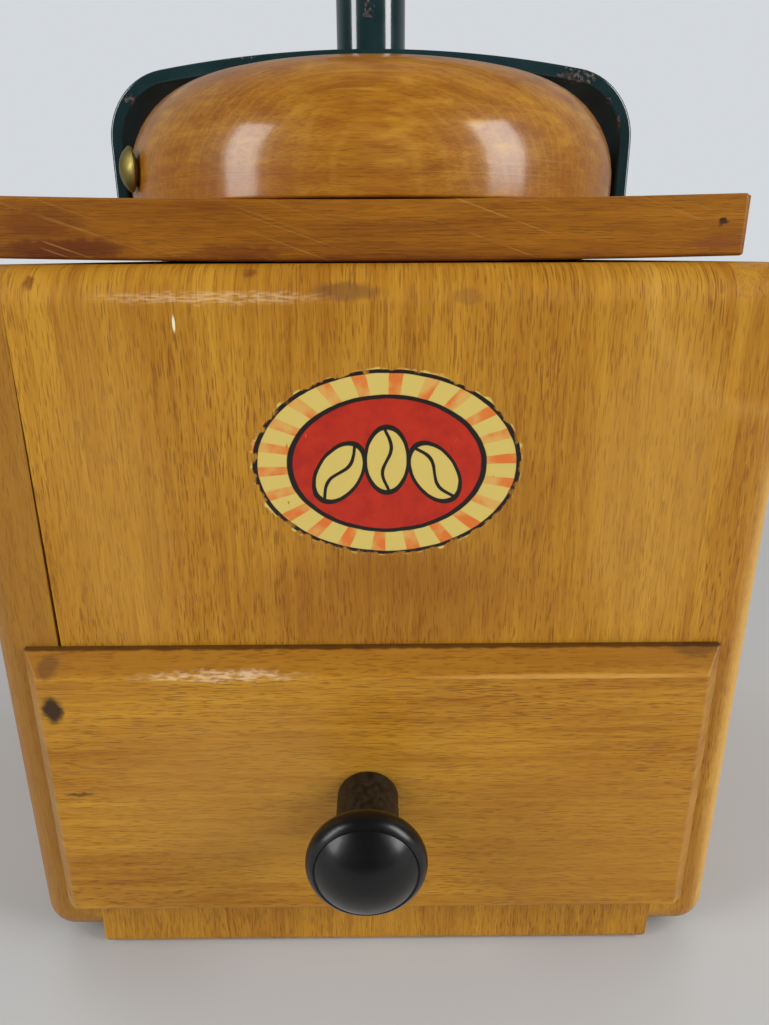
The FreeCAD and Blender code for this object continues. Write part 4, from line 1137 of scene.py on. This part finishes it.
class MILL_OT_crank(bpy.types.Operator):
    """Crank arm with its nut, grip, ferrule and the grind adjuster"""

    bl_idname = "mill.crank"
    bl_label = "Crank"

    def execute(self, context):
        sizes = context.scene.mill_metal
        arm = merged_copy("crank_arm")

        def off_holes(middle):
            to_shaft, to_pin = middle.xy.length, hypot(middle.x - CRANK_REACH, middle.y)
            return to_shaft > 5.0 and to_pin > 4.0

        ease(arm, arrises(arm, 50.0, off_holes), sizes.crank_ease, 3)
        stand_in("crank_arm", arm, enamel())
        adjuster = merged_copy("adjusting_nut")
        ease(adjuster, arrises(adjuster, 40.0, lambda middle: middle.xy.length > 6.0), 0.25 * MM)
        stand_in("adjusting_nut", adjuster, brass())
        nut = merged_copy("crank_nut")
        ease(nut, arrises(nut, 30.0, lambda middle: middle.xy.length > 4.0), 0.3 * MM)
        stand_in("crank_nut", nut, steel())
        stand_in("crank_grip", self.grip(), finish("turned_grip", grip_paint))
        stand_in("grip_ferrule", self.ferrule(), brass())
        dress(steel(), "grip_pin", "shaft", "lock_spring", "thrust_washer")
        return {"FINISHED"}

    def grip(self):
        (*_, base), (right, _, top) = corners("crank_grip")
        foot, head, bore = 8.0, right - CRANK_REACH, GRIP_BORE
        line = Profile(bore, base).line((foot - 0.3, base), (foot, base + 0.3), (foot, base + 1.4))
        line.line((foot - 0.45, base + 1.8), (foot - 0.1, base + 2.2))
        line.arc((foot - 0.6, base + 6.6), (foot + 0.8, base + 12.0), 8)
        line.arc((head - 1.6, base + 18.3), (head, base + 25.0), 10)
        line.arc((head - 3.6, top - 3.6), (bore + 2.0, top), 16)
        shape = line.line((bore + 0.4, top), (bore, top - 0.4)).close().turned(72)
        return placed(shape, TO_GRIP)

    def ferrule(self):
        (*_, base), (right, _, top) = corners("grip_ferrule")
        radius, bore = right - CRANK_REACH, GRIP_BORE
        neck, bead = radius - 0.5, 1.4
        line = Profile(bore, base).line((neck, base))
        line.arc((radius, base + bead / 2), (neck, base + bead), 6)
        line.line((neck, top - bead)).arc((radius, top - bead / 2), (neck, top), 6)
        return placed(line.line((bore, top)).close().turned(64), TO_GRIP)


class MILL_OT_hopper(bpy.types.Operator):
    """Funnel and fixed shutter inside the dome, with slotted screws"""

    bl_idname = "mill.hopper"
    bl_label = "Hopper"

    def execute(self, context):
        dress(finish("tinned_sheet", tin_paint), "hopper_funnel", "fill_shutter")
        level, ring = corners("hopper_screws")[1][Z], 36.0
        bearings = [radians(degrees) for degrees in (50, 130, 230, 310)]
        places = [(ring * cos(turn), ring * sin(turn), level) for turn in bearings]
        stand_in("hopper_screws", repeated(slotted_screw(2.9, 1.5, 18.0, 70.0), places), steel())
        return {"FINISHED"}


class MILL_OT_gear(bpy.types.Operator):
    """Finishes of the grinding gear inside the case"""

    bl_idname = "mill.gear"
    bl_label = "Grinding gear"

    def execute(self, context):
        dress(finish("oiled_iron", iron_paint), "burr_housing", "bearing_bridge")
        hard = finish("hard_steel", metal_paint, srgb(142, 140, 137), srgb(84, 74, 64), 0.3, 3.0)
        dress(hard, "burr_ring", "burr_cone", "burr_pin")
        dress(steel(), "housing_screws", "bridge_screws")
        return {"FINISHED"}


PANEL_BACK = -65.25  # edges in front of it are eased
KNOB_X, KNOB_Z = -1.1, 40.0


class MILL_OT_drawer(bpy.types.Operator):
    """Drawer with its bevelled panel"""

    bl_idname = "mill.drawer"
    bl_label = "Drawer"

    def execute(self, context):
        front = merged_copy("drawer_front")

        def shown(middle):
            to_hole = hypot(middle.x - KNOB_X, middle.z - KNOB_Z)
            return middle.y < PANEL_BACK and to_hole > 4.0

        ease(front, arrises(front, 25.0, shown), context.scene.mill_case.panel_ease, 3)
        stand_in("drawer_front", front, finish("drawer_beech", drawer_paint))
        dress(finish("drawer_side_beech", bare_paint, Y, 23.0), "drawer_left_side", "drawer_right_side")
        dress(finish("drawer_cross_beech", bare_paint, X, 24.0), "drawer_back", "drawer_bottom")
        return {"FINISHED"}


class MILL_OT_drawer_knob(bpy.types.Operator):
    """Turned black knob of the drawer, and its screw"""

    bl_idname = "mill.drawer_knob"
    bl_label = "Drawer knob"

    def execute(self, context):
        sizes = context.scene.mill_metal
        rim, stem = sizes.knob_radius / MM, sizes.knob_stem / MM
        foot, neck, flare = 1.0, 10.8, 11.85
        rim_base, rim_middle, rim_top, face = 12.9, 15.0, 17.4, 21.4
        line = Profile(0.0, 0.0).line((stem - 0.5, 0.0)).arc((stem - 0.15, 0.3), (stem, foot), 4)
        line.line((stem, neck)).arc((stem + 0.35, 11.55), (stem + 1.1, flare), 5)
        line.line((rim - 1.9, rim_base)).arc((rim, rim_middle), (rim - 1.1, rim_top), 14)
        # A hairline groove parts the rim from the round face.
        line.line((rim - 1.25, rim_top + 0.1), (rim - 1.45, rim_top)).arc((4.1, 20.35), (0.0, face), 14)
        shape = line.turned(96)
        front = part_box("drawer_front")[0].y
        stand = Matrix.Translation((KNOB_X * MM, front, KNOB_Z * MM)) @ TO_FRONT
        stand_in("drawer_knob", placed(shape, stand), finish("black_lacquer", knob_paint))
        dress(steel(), "drawer_knob_screw")
        return {"FINISHED"}


MILL_MIDDLE = Vector((0.0, 0.0, 0.12))
FLOOR_RADIUS, FLOOR_FADE = 1.6, (0.5, 1.5)
# Name, share of the window light, bearing, rise, distance, size, and whether gloss shows it.
LIGHTS = (
    ("left_window", 0.78, -57.0, 21.0, 0.9, (0.25, 0.6), True),
    ("right_window", 1.02, 60.0, 23.0, 0.9, (0.3, 0.6), True),
    ("front_fill", 0.2, 8.0, 18.0, 1.0, (0.4, 0.4), False),
    ("back_left", 0.35, -140.0, 38.0, 1.2, (0.6, 0.6), False),
    ("back_right", 0.35, 140.0, 38.0, 1.2, (0.6, 0.6), False),
)


class MILL_OT_stage(bpy.types.Operator):
    """Camera, soft lights, pale floor and background"""

    bl_idname = "mill.stage"
    bl_label = "Stage"

    def execute(self, context):
        settings = context.scene.mill_stage
        context.scene.view_settings.view_transform = "Standard"
        self.camera(context, settings)
        self.floor(settings)
        self.background(context, settings)
        for name, share, *details in LIGHTS:
            self.light(name, share * settings.window_light, *details)
        return {"FINISHED"}

    def camera(self, context, settings):
        camera = linked("camera", bpy.data.cameras.new("camera"))
        camera.data.lens = settings.lens
        camera.data.sensor_width = 36.0
        camera.data.clip_start = 0.01
        turn = Matrix.Rotation(settings.yaw, 4, "Z")
        turn @= Matrix.Rotation(pi / 2 - settings.pitch, 4, "X")
        turn @= Matrix.Rotation(settings.roll, 4, "Z")
        camera.matrix_world = Matrix.Translation(settings.eye) @ turn
        context.scene.camera = camera

    def light(self, name, power, bearing, rise, distance, size, glossy):
        """A soft light at a bearing from the front and a rise over the horizon, turned to the mill."""
        data = bpy.data.lights.new(name, "AREA")
        data.shape = "RECTANGLE"
        data.size, data.size_y = size
        data.energy = power
        lamp = linked(name, data)
        bearing, rise = radians(bearing), radians(rise)
        away = Vector((sin(bearing) * cos(rise), -cos(bearing) * cos(rise), sin(rise)))
        lamp.location = MILL_MIDDLE + away * distance
        lamp.rotation_euler = away.to_track_quat("Z", "Y").to_euler()
        lamp.visible_camera = False
        lamp.visible_glossy = glossy

    def floor(self, settings):
        """A round table top that fades into the background."""
        shape = bmesh.new()
        bmesh.ops.create_circle(shape, cap_ends=True, segments=96, radius=FLOOR_RADIUS)
        bmesh.ops.translate(shape, vec=(0.0, 0.0, -0.2 * MM), verts=shape.verts)
        mesh = mesh_of("floor", shape)
        material = bpy.data.materials.new("pale_floor")
        start = blank_tree(material)
        place = start.node("TexCoord", {}, {}, "Object")
        cloud = place.noise(0.02, 3.0, 1.0)
        shade = (cloud * 0.12).mix(settings.floor, srgb(160, 158, 154))
        paper = start.node("BsdfPrincipled", {}, {"Base Color": shade, "Roughness": 0.75})
        clear = start.node("BsdfTransparent", {}, {})
        far = place.reach().mask(*FLOOR_FADE)
        surface = start.node("MixShader", {}, {0: far, 1: paper, 2: clear})
        start.node("OutputMaterial", {}, {"Surface": surface})
        mesh.materials.append(material)
        linked("floor", mesh)

    def background(self, context, settings):
        world = bpy.data.worlds.new("pale_room")
        context.scene.world = world
        start = blank_tree(world)
        mirror = start.node("LightPath", {}, {}, "Is Glossy Ray")
        mirror = mirror | start.node("LightPath", {}, {}, "Is Transmission Ray")
        behind = start.node("TexCoord", {}, {}, "Generated").axis(Y).mask(-0.1, 0.6)
        mirrored = (behind * 0.35).mix(settings.room, settings.wall)
        shade = mirror.mix((settings.ambient,) * 3, mirrored)
        shade = start.node("LightPath", {}, {}, "Is Camera Ray").mix(shade, settings.wall)
        sky = start.node("Background", {}, {"Color": shade, "Strength": 1.0})
        start.node("OutputWorld", {}, {"Surface": sky})


OPERATORS = (
    MILL_OT_case,
    MILL_OT_plate,
    MILL_OT_emblem,
    MILL_OT_dome,
    MILL_OT_bow,
    MILL_OT_crank,
    MILL_OT_hopper,
    MILL_OT_gear,
    MILL_OT_drawer,
    MILL_OT_drawer_knob,
    MILL_OT_stage,
)


class MILL_PT_panel(bpy.types.Panel):
    """Lists the mill's operators and settings"""

    bl_idname = "MILL_PT_panel"
    bl_label = "Box coffee mill"
    bl_space_type = "VIEW_3D"
    bl_region_type = "UI"
    bl_category = "Mill"

    def draw(self, context):
        for operator in OPERATORS:
            self.layout.operator(operator.bl_idname)
        for name, group in SETTINGS.items():
            box = self.layout.box()
            box.label(text=group.__doc__)
            for setting in group.__annotations__:
                box.prop(getattr(context.scene, name), setting)


CLASSES = (*SETTINGS.values(), *OPERATORS, MILL_PT_panel)


def register():
    for each in CLASSES:
        bpy.utils.register_class(each)
    for name, group in SETTINGS.items():
        setattr(bpy.types.Scene, name, bpy.props.PointerProperty(type=group))


def unregister():
    for name in SETTINGS:
        delattr(bpy.types.Scene, name)
    for each in reversed(CLASSES):
        bpy.utils.unregister_class(each)


def main():
    register()
    bpy.ops.mill.case()
    bpy.ops.mill.plate()
    bpy.ops.mill.emblem()
    bpy.ops.mill.dome()
    bpy.ops.mill.bow()
    bpy.ops.mill.crank()
    bpy.ops.mill.hopper()
    bpy.ops.mill.gear()
    bpy.ops.mill.drawer()
    bpy.ops.mill.drawer_knob()
    bpy.ops.mill.stage()


if __name__ == "__main__":
    main()
